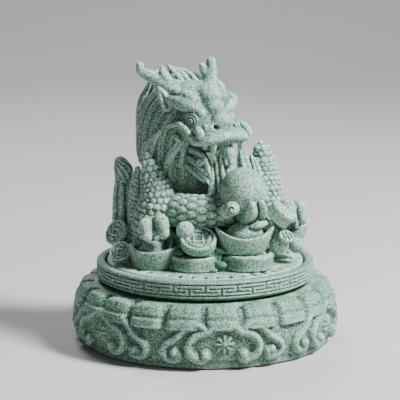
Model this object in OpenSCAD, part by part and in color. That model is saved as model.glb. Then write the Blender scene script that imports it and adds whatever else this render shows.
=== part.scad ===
// Rotating jade ornament: a dragon on a treasure pile, on a turntable over a carved plinth.
// Millimetres, +Z up, front towards -Y, origin at the centre of the underside.

/* [Plinth] */
// Widest radius of the carved plinth
plinth_r = 42.2; // [41:0.1:44]
// Height of the ledge that the turntable hovers over
ledge_z = 19.3; // [18.8:0.1:19.4]
// Radius of the felt pad under the plinth
pad_r = 37; // [30:0.5:38]

/* [Turntable] */
// Outer radius of the fretwork ring
ring_r = 34.6; // [34:0.1:36]
// Underside of the fretwork ring
ring_z = 19.9; // [19.8:0.05:20.1]
// Top of the fretwork ring and of the pierced plate
deck_z = 26.2; // [26:0.1:27]
// Radius of the pierced plate that lifts out
plate_r = 31.2; // [30.5:0.1:31.3]

/* [Bearing] */
// Radius of the circle that the balls run on
race_r = 16; // [15:0.5:18]
// Diameter of one ball
ball_d = 3; // [2.8:0.1:3.2]
// Number of balls
ball_count = 12; // [8:1:16]
// Radius of the spindle
spindle_r = 2.5; // [2:0.1:3]

/* [Dragon] */
// Turn of the head from straight ahead, in degrees
head_turn = 35; // [30:1:40]
// Radius of the pearl
pearl_r = 7.8; // [7:0.1:8.2]
// Length of a gold ingot from tip to tip
ingot_len = 19; // [17:0.5:20]
// Radius of a large coin
coin_r = 8; // [7:0.1:8.5]

/* [Hidden] */
$fn = 96;
facet_fn = 16;
jade = "#9fb9a8";
jade_dark = "#7d9c8a";
steel = "#b9bcc0";
brass = "#c8a45c";
felt = "#2f3a36";
resin = "#e9e1c8";

// Heights and radii of the mechanism
foot_z = 0.5;
pad_t = 1.0;
belly_z = 8;
belly_drop = 2.2;
belly_half = 9.6;
shoulder_z = 17.6;
lip_r = plinth_r - 4.8;
lip_z = ledge_z - 0.4;
well_r = 21;
well_z = 14.5;
clip_well_r = 8;
clip_well_z = 4.5;
bush_r = 4;
bush_flange_r = 6;
bush_flange_t = 0.8;
run_gap = 0.05;
ball_r = ball_d / 2;
ball_z = (well_z + ring_z) / 2;
race_in = race_r - 10;
race_out = race_r + 4;
race_face = 0.8;
groove_gap = 0.03;
cage_t = 1.0;
cage_gap = 0.06;
ring_foot_r = ring_r - 1.8;
chamfer_z = ring_z + 1.1;
rim_round = 0.9;
rim_in = ring_r - 2.6;
floor_z = ring_z + 1.8;
shelf_z = deck_z - 2.5;
shelf_r = rim_in - 4;
tablet_r = shelf_r - 0.3;
tablet_gap = 0.2;
head_r = 5;
head_t = 0.6;
washer_t = 1.0;
washer_r = 6;
washer_gap = 0.1;
clip_t = 0.8;
clip_r = 4.2;
clip_groove_r = 1.9;
clip_z = clip_well_z - washer_gap - washer_t - clip_t;
spindle_end = 1.3;
slot_count = 46;
slot_r = plate_r - 2.2;
slot_len = 1.6;
slot_w = 0.8;

// Foot of the treasure pile and the origin of the head's own frame
pile_z = deck_z;
head_at = [-3.7, 1, 81.5];

// ---- Shared shapes ----

function unit(v) = v / norm(v);
function ring_points(c, r, dir, side, n) =
  let (u = unit(cross(side, dir)), v = cross(dir, u))
  [for (i = [0:n - 1]) c + r * (cos(360 * i / n) * u + sin(360 * i / n) * v)];

// A round bar through the points, with a radius at each; side is any direction across its run
module tapered_bar(points, radii, side = [0, 1, 0], n = 12) {
  last = len(points) - 1;
  dirs = [for (i = [0:last]) unit(points[min(i + 1, last)] - points[max(i - 1, 0)])];
  verts = [for (i = [0:last]) each ring_points(points[i], radii[i], dirs[i], side, n)];
  bottom = [[for (j = [0:n - 1]) j]];
  top = [[for (j = [n - 1:-1:0]) last * n + j]];
  walls = [
    for (i = [0:last - 1], j = [0:n - 1])
      let (a = i * n + j, b = i * n + (j + 1) % n)
      each [[a, a + n, b], [b, a + n, b + n]]
  ];
  polyhedron(points = verts, faces = concat(bottom, walls, top), convexity = 4);
}

// A bar with round ends between two points
module capsule(a, b, r, r_end = undef) {
  hull() {
    translate(a) sphere(r, $fn = facet_fn);
    translate(b) sphere(is_undef(r_end) ? r : r_end, $fn = facet_fn);
  }
}

// A flat disc with a raised rim and a square hole, lying in its own plane
module coin(r, t) {
  difference() {
    cylinder(r = r, h = t, center = true, $fn = 32);
    translate([0, 0, t / 2]) cylinder(r = r * 0.78, h = t * 0.3, center = true, $fn = 32);
  }
}

// A disc placed at a point and tipped: turn about Z, then lean away from level
module coin_at(place, r, t, turn, lean) {
  translate(place) rotate([0, 0, turn]) rotate([lean, 0, 0]) coin(r, t);
}

// A boat-shaped ingot standing on z = 0: oval foot, flared horns and a domed middle
module ingot(len, width, height) {
  foot_len = len * 0.5;
  foot_w = width * 0.62;
  horn_r = 1.0;
  difference() {
    hull() {
      scale([foot_len / 2, foot_w / 2, 1]) cylinder(r = 1, h = 0.6, $fn = facet_fn);
      translate([0, 0, height * 0.7])
        scale([len * 0.36, width / 2, 1]) cylinder(r = 1, h = 0.4, $fn = facet_fn);
      for (s = [-1, 1]) translate([s * (len / 2 - horn_r), 0, height - horn_r]) sphere(horn_r, $fn = 10);
    }
    translate([0, 0, height + 0.4])
      scale([len * 0.38, width * 0.38, height * 0.42]) sphere(1, $fn = facet_fn);
  }
  translate([0, 0, height * 0.62]) scale([len * 0.26, width * 0.34, height * 0.5]) sphere(1, $fn = facet_fn);
}

// The head's own frame: -Y is the way the dragon faces, +X its left cheek
module in_head() {
  translate(head_at) rotate([0, 0, head_turn]) children();
}

// ---- Plinth and its fittings ----

function belly(z) = plinth_r - belly_drop * pow((z - belly_z) / belly_half, 2);

module plinth() {
  wall = [for (z = [foot_z:(shoulder_z - foot_z) / 12:shoulder_z + 0.01]) [belly(z), z]];
  color(jade) rotate_extrude() polygon(concat(
    [[pad_r + 0.2, foot_z]], wall,
    [[lip_r, lip_z], [lip_r - 0.6, ledge_z], [well_r, ledge_z], [well_r, well_z], [bush_flange_r, well_z],
     [bush_flange_r, well_z - bush_flange_t], [bush_r, well_z - bush_flange_t], [bush_r, clip_well_z],
     [clip_well_r, clip_well_z], [clip_well_r, pad_t], [pad_r + 0.2, pad_t]]));
}

module underside_pad() {
  color(felt) cylinder(r = pad_r, h = pad_t);
}

// One half of the thrust bearing: a flat ring with a ball groove in the face at z = race_z
module race(low, high) {
  difference() {
    translate([0, 0, low]) cylinder(r = race_out, h = high - low);
    translate([0, 0, low - 1]) cylinder(r = race_in, h = high - low + 2);
    translate([0, 0, ball_z])
      rotate_extrude() translate([race_r, 0]) circle(r = ball_r + groove_gap, $fn = 48);
  }
}

module lower_race() {
  color(steel) race(well_z, ball_z - race_face);
}

module spindle_bush() {
  color(brass) difference() {
    union() {
      translate([0, 0, clip_well_z]) cylinder(r = bush_r, h = well_z - clip_well_z);
      translate([0, 0, well_z - bush_flange_t]) cylinder(r = bush_flange_r, h = bush_flange_t);
    }
    translate([0, 0, clip_well_z - 1]) cylinder(r = spindle_r + run_gap, h = well_z - clip_well_z + 2);
  }
}

module ball_cage() {
  color(brass) difference() {
    translate([0, 0, ball_z - cage_t / 2]) cylinder(r = race_out - 1, h = cage_t);
    translate([0, 0, ball_z - cage_t]) cylinder(r = race_in + 1, h = cage_t * 2);
    for (i = [0:ball_count - 1])
      rotate([0, 0, 360 * i / ball_count]) translate([race_r, 0, ball_z - cage_t])
        cylinder(r = ball_r + cage_gap, h = cage_t * 2, $fn = 32);
  }
}

module bearing_balls() {
  color(steel)
    for (i = [0:ball_count - 1])
      rotate([0, 0, 360 * i / ball_count]) translate([race_r, 0, ball_z]) sphere(ball_r, $fn = 32);
}

// ---- Turntable ----

module turntable_ring() {
  rim = [for (a = [0:30:90])
    [ring_r - rim_round + rim_round * cos(a), deck_z - rim_round + rim_round * sin(a)]];
  color(jade) rotate_extrude() polygon(concat(
    [[spindle_r, ring_z], [ring_foot_r, ring_z], [ring_r, chamfer_z]], rim,
    [[rim_in, deck_z], [rim_in, shelf_z], [shelf_r, shelf_z], [shelf_r, floor_z], [spindle_r, floor_z]]));
}

module upper_race() {
  color(steel) race(ball_z + race_face, ring_z);
}

module spindle() {
  color(steel) rotate_extrude() polygon([
    [0, spindle_end], [spindle_r - 0.3, spindle_end], [spindle_r, spindle_end + 0.3], [spindle_r, clip_z],
    [clip_groove_r, clip_z], [clip_groove_r, clip_z + clip_t], [spindle_r, clip_z + clip_t],
    [spindle_r, floor_z], [head_r, floor_z], [head_r, floor_z + head_t], [0, floor_z + head_t]]);
}

module thrust_washer() {
  color(brass) translate([0, 0, clip_z + clip_t]) difference() {
    cylinder(r = washer_r, h = washer_t);
    translate([0, 0, -1]) cylinder(r = spindle_r + run_gap, h = washer_t + 2);
  }
}

module retaining_clip() {
  color(steel) translate([0, 0, clip_z]) difference() {
    cylinder(r = clip_r, h = clip_t);
    translate([0, 0, -1]) cylinder(r = clip_groove_r, h = clip_t + 2);
    translate([0, -1.2, -1]) cube([clip_r + 1, 2.4, clip_t + 2]);
  }
}

module fragrance_tablet() {
  color(resin) difference() {
    translate([0, 0, floor_z]) cylinder(r = tablet_r, h = shelf_z - floor_z - tablet_gap);
    translate([0, 0, floor_z - 1]) cylinder(r = head_r + 0.3, h = shelf_z);
  }
}

// ---- Figure group: the plate that lifts out, with everything bonded on it ----

module pierced_plate() {
  color(jade) difference() {
    translate([0, 0, shelf_z]) cylinder(r = plate_r, h = deck_z - shelf_z);
    for (i = [0:slot_count - 1])
      rotate([0, 0, 360 * i / slot_count]) translate([slot_r - slot_len / 2, -slot_w / 2, shelf_z - 1])
        cube([slot_len, slot_w, deck_z - shelf_z + 2]);
  }
}

module mound_shape() {
  rotate_extrude($fn = 36) polygon([[0, pile_z], [21, pile_z], [20.5, 30], [18, 35], [13, 38.5], [0, 40]]);
}

module treasure_mound() {
  color(jade_dark) mound_shape();
}

// A piece bonded on the pile ends where the pile's surface begins
module on_mound() {
  difference() {
    children();
    mound_shape();
  }
}

module ingot_front_shape() {
  translate([12.2, -16.5, 31.3]) rotate([0, 0, 6]) ingot(ingot_len, 13, 8.4);
}

module ingot_front() {
  color(jade) on_mound() ingot_front_shape();
}

module ingot_left_shape() {
  translate([-16.3, -14.5, pile_z]) rotate([0, 0, -24]) ingot(ingot_len * 0.8, 11, 7);
}

module ingot_left() {
  color(jade) difference() {
    ingot_left_shape();
    haunch_left_shape();
    mound_shape();
  }
}

module ingot_right_shape() {
  translate([24, -1.5, 29.5]) rotate([0, 0, 6]) ingot(ingot_len, 11, 9.4);
}

module ingot_right() {
  color(jade) on_mound() ingot_right_shape();
}

module ingot_back() {
  color(jade) translate([0, 25.2, pile_z]) ingot(ingot_len, 10.6, 8.5);
}

module coin_front_upper() {
  color(jade) on_mound() coin_at([-2.1, -19.3, 35.5], 5.6, 3.2, 0, 30);
}

module coin_front_lower() {
  color(jade) on_mound() coin_at([-3, -15.8, 28.6], coin_r, 4.4, 0, 0);
}

module coin_front_slab() {
  color(jade) on_mound() coin_at([13.2, -15.2, 28.8], coin_r, 4.8, 0, 0);
}

module coin_left_upper() {
  color(jade) on_mound() coin_at([-28, -4.2, 35], 4.2, 2.2, -48, 62);
}

module coin_left_lower() {
  color(jade) on_mound() coin_at([-26.6, -10.8, 30.2], 3.4, 2, -25, 52);
}

// Three small coins in one leaning stack
module coin_right_tilted() {
  color(jade) coin_at([23.3, -13.1, 42.7], 4.2, 4.4, 80, 42);
}

module coin_right_small() {
  color(jade) coin_at([25.2, -14.9, 36.0], 2.4, 1.4, 30, 38);
}

module coin_back_left() {
  color(jade) on_mound() coin_at([-17, 17, 31.8], 5.5, 3, -140, 55);
}

module coin_back_right() {
  color(jade) on_mound() coin_at([17, 17, 31.8], 5.5, 3, 140, 55);
}

module treasure_beads() {
  beads = [
    [[-6.2, -18, 38.7], 2.8], [[23.2, -12.8, 33.1], 3.0], [[28.8, -9, 32], 2.6],
    [[-24, 10, 29.2], 2.9], [[25, 10.6, 29.1], 2.8], [[-12.5, 25, 28.9], 2.4], [[12.5, 25, 28.9], 2.4]
  ];
  color(jade) difference() {
    for (b = beads) translate(b[0]) sphere(b[1], $fn = facet_fn);
    coin_front_upper();
    mound_shape();
  }
}

module haunch_left_shape() {
  tapered_bar(
    [[-16.6, -7.5, 33], [-16.2, -8, 40], [-15.2, -8.4, 47], [-16.6, -7.4, 54], [-18, -6.3, 59.6],
      [-18.3, -6, 61]],
    [6.2, 6.2, 5.4, 3.8, 1.5, 0.5]);
}

module haunch_left() {
  color(jade) difference() {
    haunch_left_shape();
    neck_shape();
    mound_shape();
  }
}

module haunch_right_shape() {
  tapered_bar(
    [[18, -1, 33], [18.4, 0, 40], [18.6, 1, 47], [18.4, 1.6, 55], [17.9, 2, 61.4], [17.8, 2, 63.4]],
    [6.6, 6.6, 6.0, 4.5, 2.0, 0.6]);
}

module haunch_right() {
  color(jade) difference() {
    haunch_right_shape();
    ingot_right_shape();
    mound_shape();
  }
}

module side_fold() {
  color(jade) difference() {
    tapered_bar([[-22.4, -3, 34], [-22.4, -3, 42], [-21.9, -3, 50], [-21.2, -3, 56]], [2.2, 2.0, 1.6, 0.8]);
    haunch_left_shape();
  }
}

module tail_tuft() {
  color(jade) on_mound() tapered_bar(
    [[-26.6, 3, 31], [-26.6, 2.8, 38], [-26.6, 2.6, 46], [-26, 2.4, 53], [-26.3, 2.2, 56.4],
      [-26.5, 2, 58.6]],
    [3.0, 3.2, 2.8, 2.0, 2.9, 2.0]);
}

module neck_shape() {
  tapered_bar(
    [[-1.6, 4, 38], [-3.4, 4, 46], [-7, 4, 53], [-9.6, 4, 60], [-9.8, 4, 68], [-8.6, 4, 75], [-7.4, 3.6, 80]],
    [8.6, 9.2, 10.6, 11.8, 11.6, 10.4, 8.2], n = 16);
}

module neck() {
  color(jade) on_mound() neck_shape();
}

// The scaled body lies once round the foot of the neck
module coil_shape() {
  translate([0, 3, 43.4]) rotate_extrude($fn = 36) translate([15.2, 0]) circle(5, $fn = 12);
}

module body_coil() {
  color(jade) difference() {
    coil_shape();
    pearl_shape();
    haunch_left_shape();
    haunch_right_shape();
    neck_shape();
    mound_shape();
  }
}

// Skull and upper jaw in one: a round cranium, a broad muzzle, brows and the ball of the nose
module head_shape() {
  in_head() {
    hull() {
      translate([0, 2, -7]) sphere(9.2, $fn = facet_fn);
      translate([0, -8, -9]) sphere(7, $fn = facet_fn);
    }
    hull() {
      for (s = [-1, 1]) translate([s * 5, -5, -13]) sphere(3.6, $fn = 12);
      for (s = [-1, 1]) translate([s * 6.4, -16, -13.4]) sphere(2.4, $fn = 12);
      translate([0, -14.6, -10]) sphere(3.4, $fn = 12);
    }
    for (s = [-1, 1]) capsule([s * 4.4, -9.6, -6], [s * 9.2, 1, -2.6], 2.6, 1.6);
  }
}

module head() {
  color(jade) difference() {
    head_shape();
    neck_shape();
  }
}

module jaw_shape() {
  in_head() hull() {
    for (s = [-1, 1]) translate([s * 4, -3, -18.4]) sphere(3, $fn = 12);
    translate([0, -12, -20.5]) sphere(2.6, $fn = 12);
  }
}

module lower_jaw() {
  color(jade) difference() {
    jaw_shape();
    head_shape();
    neck_shape();
  }
}

module tongue() {
  color(jade) difference() {
    in_head() capsule([0, -8, -17.6], [0, -14.6, -19.4], 1.9, 1.5);
    jaw_shape();
    head_shape();
  }
}

// The two corner teeth under the upper lip
module fangs() {
  color(jade) difference() {
    in_head() for (s = [-1, 1])
      translate([s * 5.4, -15, -14]) rotate([180, 0, 0]) cylinder(r1 = 1.5, r2 = 0.4, h = 5.2, $fn = 16);
    head_shape();
  }
}

module beard_shape() {
  tapered_bar(
    [[5, -8, 59], [5.7, -9.4, 54], [6, -10, 49], [6, -10.5, 44.5]],
    [3.4, 3.4, 3.1, 2.6], [1, 0, 0]);
}

module beard() {
  color(jade) difference() {
    beard_shape();
    jaw_shape();
    neck_shape();
    coil_shape();
    pearl_shape();
  }
}

// Two pointed locks of hair behind the far corner of the mouth
module jaw_locks() {
  color(jade) difference() {
    union() {
      tapered_bar([[12.6, -6, 50], [12.5, -7, 55], [11.6, -6.6, 59.6], [11, -6.4, 62]],
                  [2, 2.2, 1.4, 0.5], [1, 0, 0]);
      tapered_bar([[16, -4.6, 49], [15.8, -4.6, 54], [15, -4.4, 58], [14.4, -4.4, 60]],
                  [1.6, 1.9, 1.2, 0.4], [1, 0, 0]);
    }
    haunch_right_shape();
    head_shape();
    pearl_shape();
  }
}

module eyes() {
  color(jade_dark) difference() {
    in_head() for (s = [-1, 1]) translate([s * 7, -8.6, -9.4]) sphere(2, $fn = facet_fn);
    head_shape();
  }
}

module horn_left() {
  color(jade) difference() {
    union() {
      tapered_bar(
        [[-8.2, -1.6, 80], [-11.6, -2, 82.6], [-16, -2, 85], [-20, -2, 87.6]],
        [2.4, 2.1, 1.9, 1.3]);
      tapered_bar([[-11.4, -2, 82.8], [-12.4, -2, 85], [-13.1, -2, 87]], [1.7, 1.5, 0.8]);
    }
    neck_shape();
    head_shape();
  }
}

module horn_right() {
  color(jade) difference() {
    union() {
      tapered_bar([[2.4, 3.6, 79.6], [2.2, 4.6, 83.5], [2, 5.6, 87.2], [2.1, 6, 89.5]], [2.6, 2.2, 1.9, 1.1]);
      tapered_bar([[1.4, 4.4, 82.6], [0, 5.4, 85.2], [-0.6, 6, 87.5]], [1.8, 1.6, 0.8]);
    }
    crest_shape();
    head_shape();
  }
}

module ear_left() {
  color(jade) difference() {
    tapered_bar([[-12.2, -2.8, 77], [-13.9, -2.9, 79.4], [-15.6, -2.7, 82.2]], [1.9, 1.6, 0.5]);
    head_shape();
    neck_shape();
  }
}

module ear_right() {
  color(jade) difference() {
    tapered_bar([[6.6, 4.4, 77.6], [6.6, 4.8, 80.4], [5.6, 5, 83.6]], [1.9, 1.6, 0.5]);
    head_shape();
  }
}

module crest_shape() {
  hull() {
    translate([-11.4, 6, 86]) sphere(1.2, $fn = 12);
    translate([-8, 8, 83]) sphere(3, $fn = 12);
    translate([-1, 5, 81]) sphere(2.2, $fn = 12);
    translate([-5, 12, 77]) sphere(3, $fn = 12);
  }
}

module crest() {
  color(jade) difference() {
    crest_shape();
    head_shape();
    neck_shape();
  }
}

module mane_shape() {
  tapered_bar(
    [[-14.6, 9, 84], [-16.6, 9.4, 76], [-17.2, 9.6, 67], [-17.4, 9.4, 58], [-15, 9.4, 50.5]],
    [3.6, 5.2, 5.6, 5.4, 3.6]);
}

// Hair that falls down the left side of the neck
module neck_mane() {
  color(jade) difference() {
    mane_shape();
    neck_shape();
    crest_shape();
    head_shape();
  }
}

// Flame-shaped fins down the dragon's back
module dorsal_fins() {
  fin_pitch = 7.6;
  color(jade) difference() {
    for (i = [0:3]) translate([-8.6, 0, 79 - fin_pitch * i])
      tapered_bar([[0, 13, -4], [0, 16, -1], [0, 18, 3]], [2.6, 2.1, 0.5], [1, 0, 0], 8);
    neck_shape();
    mane_shape();
    crest_shape();
  }
}

// A whisker curls back from the muzzle across the cheek
module whisker() {
  tapered_bar(
    [[5.6, -13.4, -15.2], [8.4, -9.4, -13.4], [10.2, -4, -12.4], [10.8, 1.4, -14.2], [10.6, 4.6, -17.4]],
    [1.5, 1.5, 1.4, 1.2, 0.7], [0, 0, 1], 10);
}

module whisker_left() {
  color(jade) difference() {
    in_head() mirror([1, 0, 0]) whisker();
    head_shape();
    neck_shape();
  }
}

module whisker_right() {
  color(jade) difference() {
    in_head() whisker();
    head_shape();
    neck_shape();
  }
}

// A forearm with two long toes that lie over an ingot
module paw(shoulder, wrist, toes) {
  tapered_bar([shoulder, wrist], [3.4, 2.7], [0, 0, 1]);
  for (t = toes) capsule(t[0], t[1], 1.9);
}

module paw_left() {
  color(jade) difference() {
    paw([-15.4, -9, 39], [-16, -15.4, 39.6],
        [[[-18.2, -16.8, 40], [-17.4, -19.6, 35.2]], [[-13.9, -17, 40.6], [-13.1, -20, 37]]]);
    ingot_left_shape();
    haunch_left_shape();
    coil_shape();
    mound_shape();
  }
}

module paw_right() {
  color(jade) difference() {
    paw([21, -1, 42.4], [27.4, -3.4, 42.2],
        [[[26.4, -6.2, 42.8], [26.8, -8.8, 39.4]], [[30, -4.2, 42.2], [30.4, -7, 38.8]]]);
    ingot_right_shape();
    haunch_right_shape();
    coil_shape();
    mound_shape();
  }
}

module pearl_shape() {
  translate([11.8, -15, 50.5]) sphere(pearl_r, $fn = 28);
}

module pearl() {
  color(jade) pearl_shape();
}

// The hand under the pearl, with three toes that hook up in front of it
module pearl_claw() {
  color(jade) difference() {
    union() {
      capsule([10, -9.6, 43], [12, -14.4, 42.6], 3, 2.6);
      for (t = [[[6.4, -17.6, 43.4], [8.3, -20.6, 45.4]], [[12.6, -17.4, 41.8], [13.8, -22, 45.6]],
                [[17.4, -15.6, 43.2], [18.2, -19.4, 45.6]]])
        capsule(t[0], t[1], 1.9);
      capsule([10, -14.4, 42.6], [6.4, -17.6, 43.4], 1.9);
      capsule([13, -14.4, 42.6], [17.4, -15.6, 43.2], 1.9);
    }
    pearl_shape();
    coil_shape();
    ingot_front_shape();
  }
}

plinth();
underside_pad();
lower_race();
spindle_bush();
ball_cage();
bearing_balls();
turntable_ring();
upper_race();
spindle();
thrust_washer();
retaining_clip();
fragrance_tablet();
pierced_plate();
treasure_mound();
ingot_front();
ingot_left();
ingot_right();
ingot_back();
coin_front_upper();
coin_front_lower();
coin_front_slab();
coin_left_upper();
coin_left_lower();
coin_right_tilted();
coin_right_small();
coin_back_left();
coin_back_right();
treasure_beads();
body_coil();
haunch_left();
haunch_right();
side_fold();
tail_tuft();
neck();
neck_mane();
dorsal_fins();
head();
lower_jaw();
tongue();
fangs();
beard();
jaw_locks();
eyes();
horn_left();
horn_right();
ear_left();
ear_right();
crest();
whisker_left();
whisker_right();
paw_left();
paw_right();
pearl_claw();
pearl();
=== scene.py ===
"""Looks of the turning jade ornament: a dragon on a treasure pile over a fretwork turntable.

The plinth and the ring are outlines swept round the axis and raised by a pattern. Every other
carved piece is worked out as signed distances on a grid ("clay") and meshed once. Each stands
for a plain CAD node. Lengths are millimetres until a mesh is made.
"""
import math

import bpy
import numpy as np
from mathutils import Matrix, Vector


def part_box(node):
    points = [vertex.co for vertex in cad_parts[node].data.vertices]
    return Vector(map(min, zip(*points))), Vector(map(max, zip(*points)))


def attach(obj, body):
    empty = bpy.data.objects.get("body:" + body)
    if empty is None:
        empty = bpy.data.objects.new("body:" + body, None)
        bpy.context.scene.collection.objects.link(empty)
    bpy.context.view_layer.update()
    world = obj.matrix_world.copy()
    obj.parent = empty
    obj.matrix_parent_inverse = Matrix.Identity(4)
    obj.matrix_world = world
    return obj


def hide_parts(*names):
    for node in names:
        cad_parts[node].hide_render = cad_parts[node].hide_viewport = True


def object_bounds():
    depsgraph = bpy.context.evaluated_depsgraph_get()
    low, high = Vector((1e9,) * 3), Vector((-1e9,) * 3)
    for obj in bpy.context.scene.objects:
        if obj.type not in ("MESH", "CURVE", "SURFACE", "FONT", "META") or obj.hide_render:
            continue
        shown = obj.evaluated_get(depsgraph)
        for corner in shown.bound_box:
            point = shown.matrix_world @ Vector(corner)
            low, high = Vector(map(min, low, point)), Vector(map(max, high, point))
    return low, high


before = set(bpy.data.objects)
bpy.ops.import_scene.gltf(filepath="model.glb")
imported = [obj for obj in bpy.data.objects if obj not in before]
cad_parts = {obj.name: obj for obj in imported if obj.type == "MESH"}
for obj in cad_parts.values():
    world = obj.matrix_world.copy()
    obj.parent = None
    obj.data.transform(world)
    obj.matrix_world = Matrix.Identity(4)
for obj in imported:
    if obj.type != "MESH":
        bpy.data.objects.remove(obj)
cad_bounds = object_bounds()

import openvdb
from mathutils import Vector

MM = 0.001
FAR = 3.0                # distances are kept no further than this from a surface
TAU = 2 * math.pi
Z_AXIS = np.array((0.0, 0.0, 1.0))


# ---- Places, taken from the CAD nodes ----

def box_mm(node):
    low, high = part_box(node)
    return np.array(low) / MM, np.array(high) / MM


def middle(node):
    low, high = box_mm(node)
    return (low + high) / 2


def spot(node, u, v, w):
    """A place in a node's box, as fractions of its width, depth and height."""
    low, high = box_mm(node)
    return low + (high - low) * np.array((u, v, w))


def spots(node, places):
    return [spot(node, *place) for place in places]


def unit(v):
    v = np.array(v, float)
    return v / np.linalg.norm(v)


def turn_z(degrees):
    c, s = math.cos(math.radians(degrees)), math.sin(math.radians(degrees))
    return np.array(((c, -s, 0), (s, c, 0), (0, 0, 1)))


def turn_x(degrees):
    c, s = math.cos(math.radians(degrees)), math.sin(math.radians(degrees))
    return np.array(((1, 0, 0), (0, c, -s), (0, s, c)))


def box_around(points, margin):
    return np.min(points, axis=0) - margin, np.max(points, axis=0) + margin


def smooth_path(points, radii, parts=5):
    """A Catmull-Rom curve through the points, with its radius along the way."""
    p = np.column_stack((np.array(points, float), np.array(radii, float)))
    p = np.vstack((2 * p[0] - p[1], p, 2 * p[-1] - p[-2]))
    out = []
    for i in range(1, len(p) - 2):
        for t in np.arange(parts) / parts:
            a, b, c, d = p[i - 1:i + 3]
            out.append(0.5 * (2 * b + (c - a) * t + (2 * a - 5 * b + 4 * c - d) * t * t
                              + (3 * b - a - 3 * c + d) * t ** 3))
    out.append(p[-2])
    out = np.array(out)
    return out[:, :3], np.maximum(out[:, 3], 0.05)


# ---- Clay: signed distances on a grid, negative inside ----

def blur(field, reach):
    """Box blur over 2 * reach + 1 cells each way."""
    for axis in range(3):
        pad = [(0, 0)] * 3
        pad[axis] = (reach + 1, reach)
        total = np.cumsum(np.pad(field, pad, mode="edge"), axis=axis, dtype=np.float64)
        n = 2 * reach + 1
        high = np.take(total, np.arange(n, total.shape[axis]), axis=axis)
        low = np.take(total, np.arange(0, total.shape[axis] - n), axis=axis)
        field = ((high - low) / n).astype(np.float32)
    return field


def smooth_most(values, blend):
    """The greatest of several distances, with the edges between them rounded."""
    most = values[0]
    for value in values[1:]:
        near = np.maximum(blend - np.abs(most - value), 0) / blend
        most = np.maximum(most, value) + near * near * blend / 4
    return most


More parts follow.
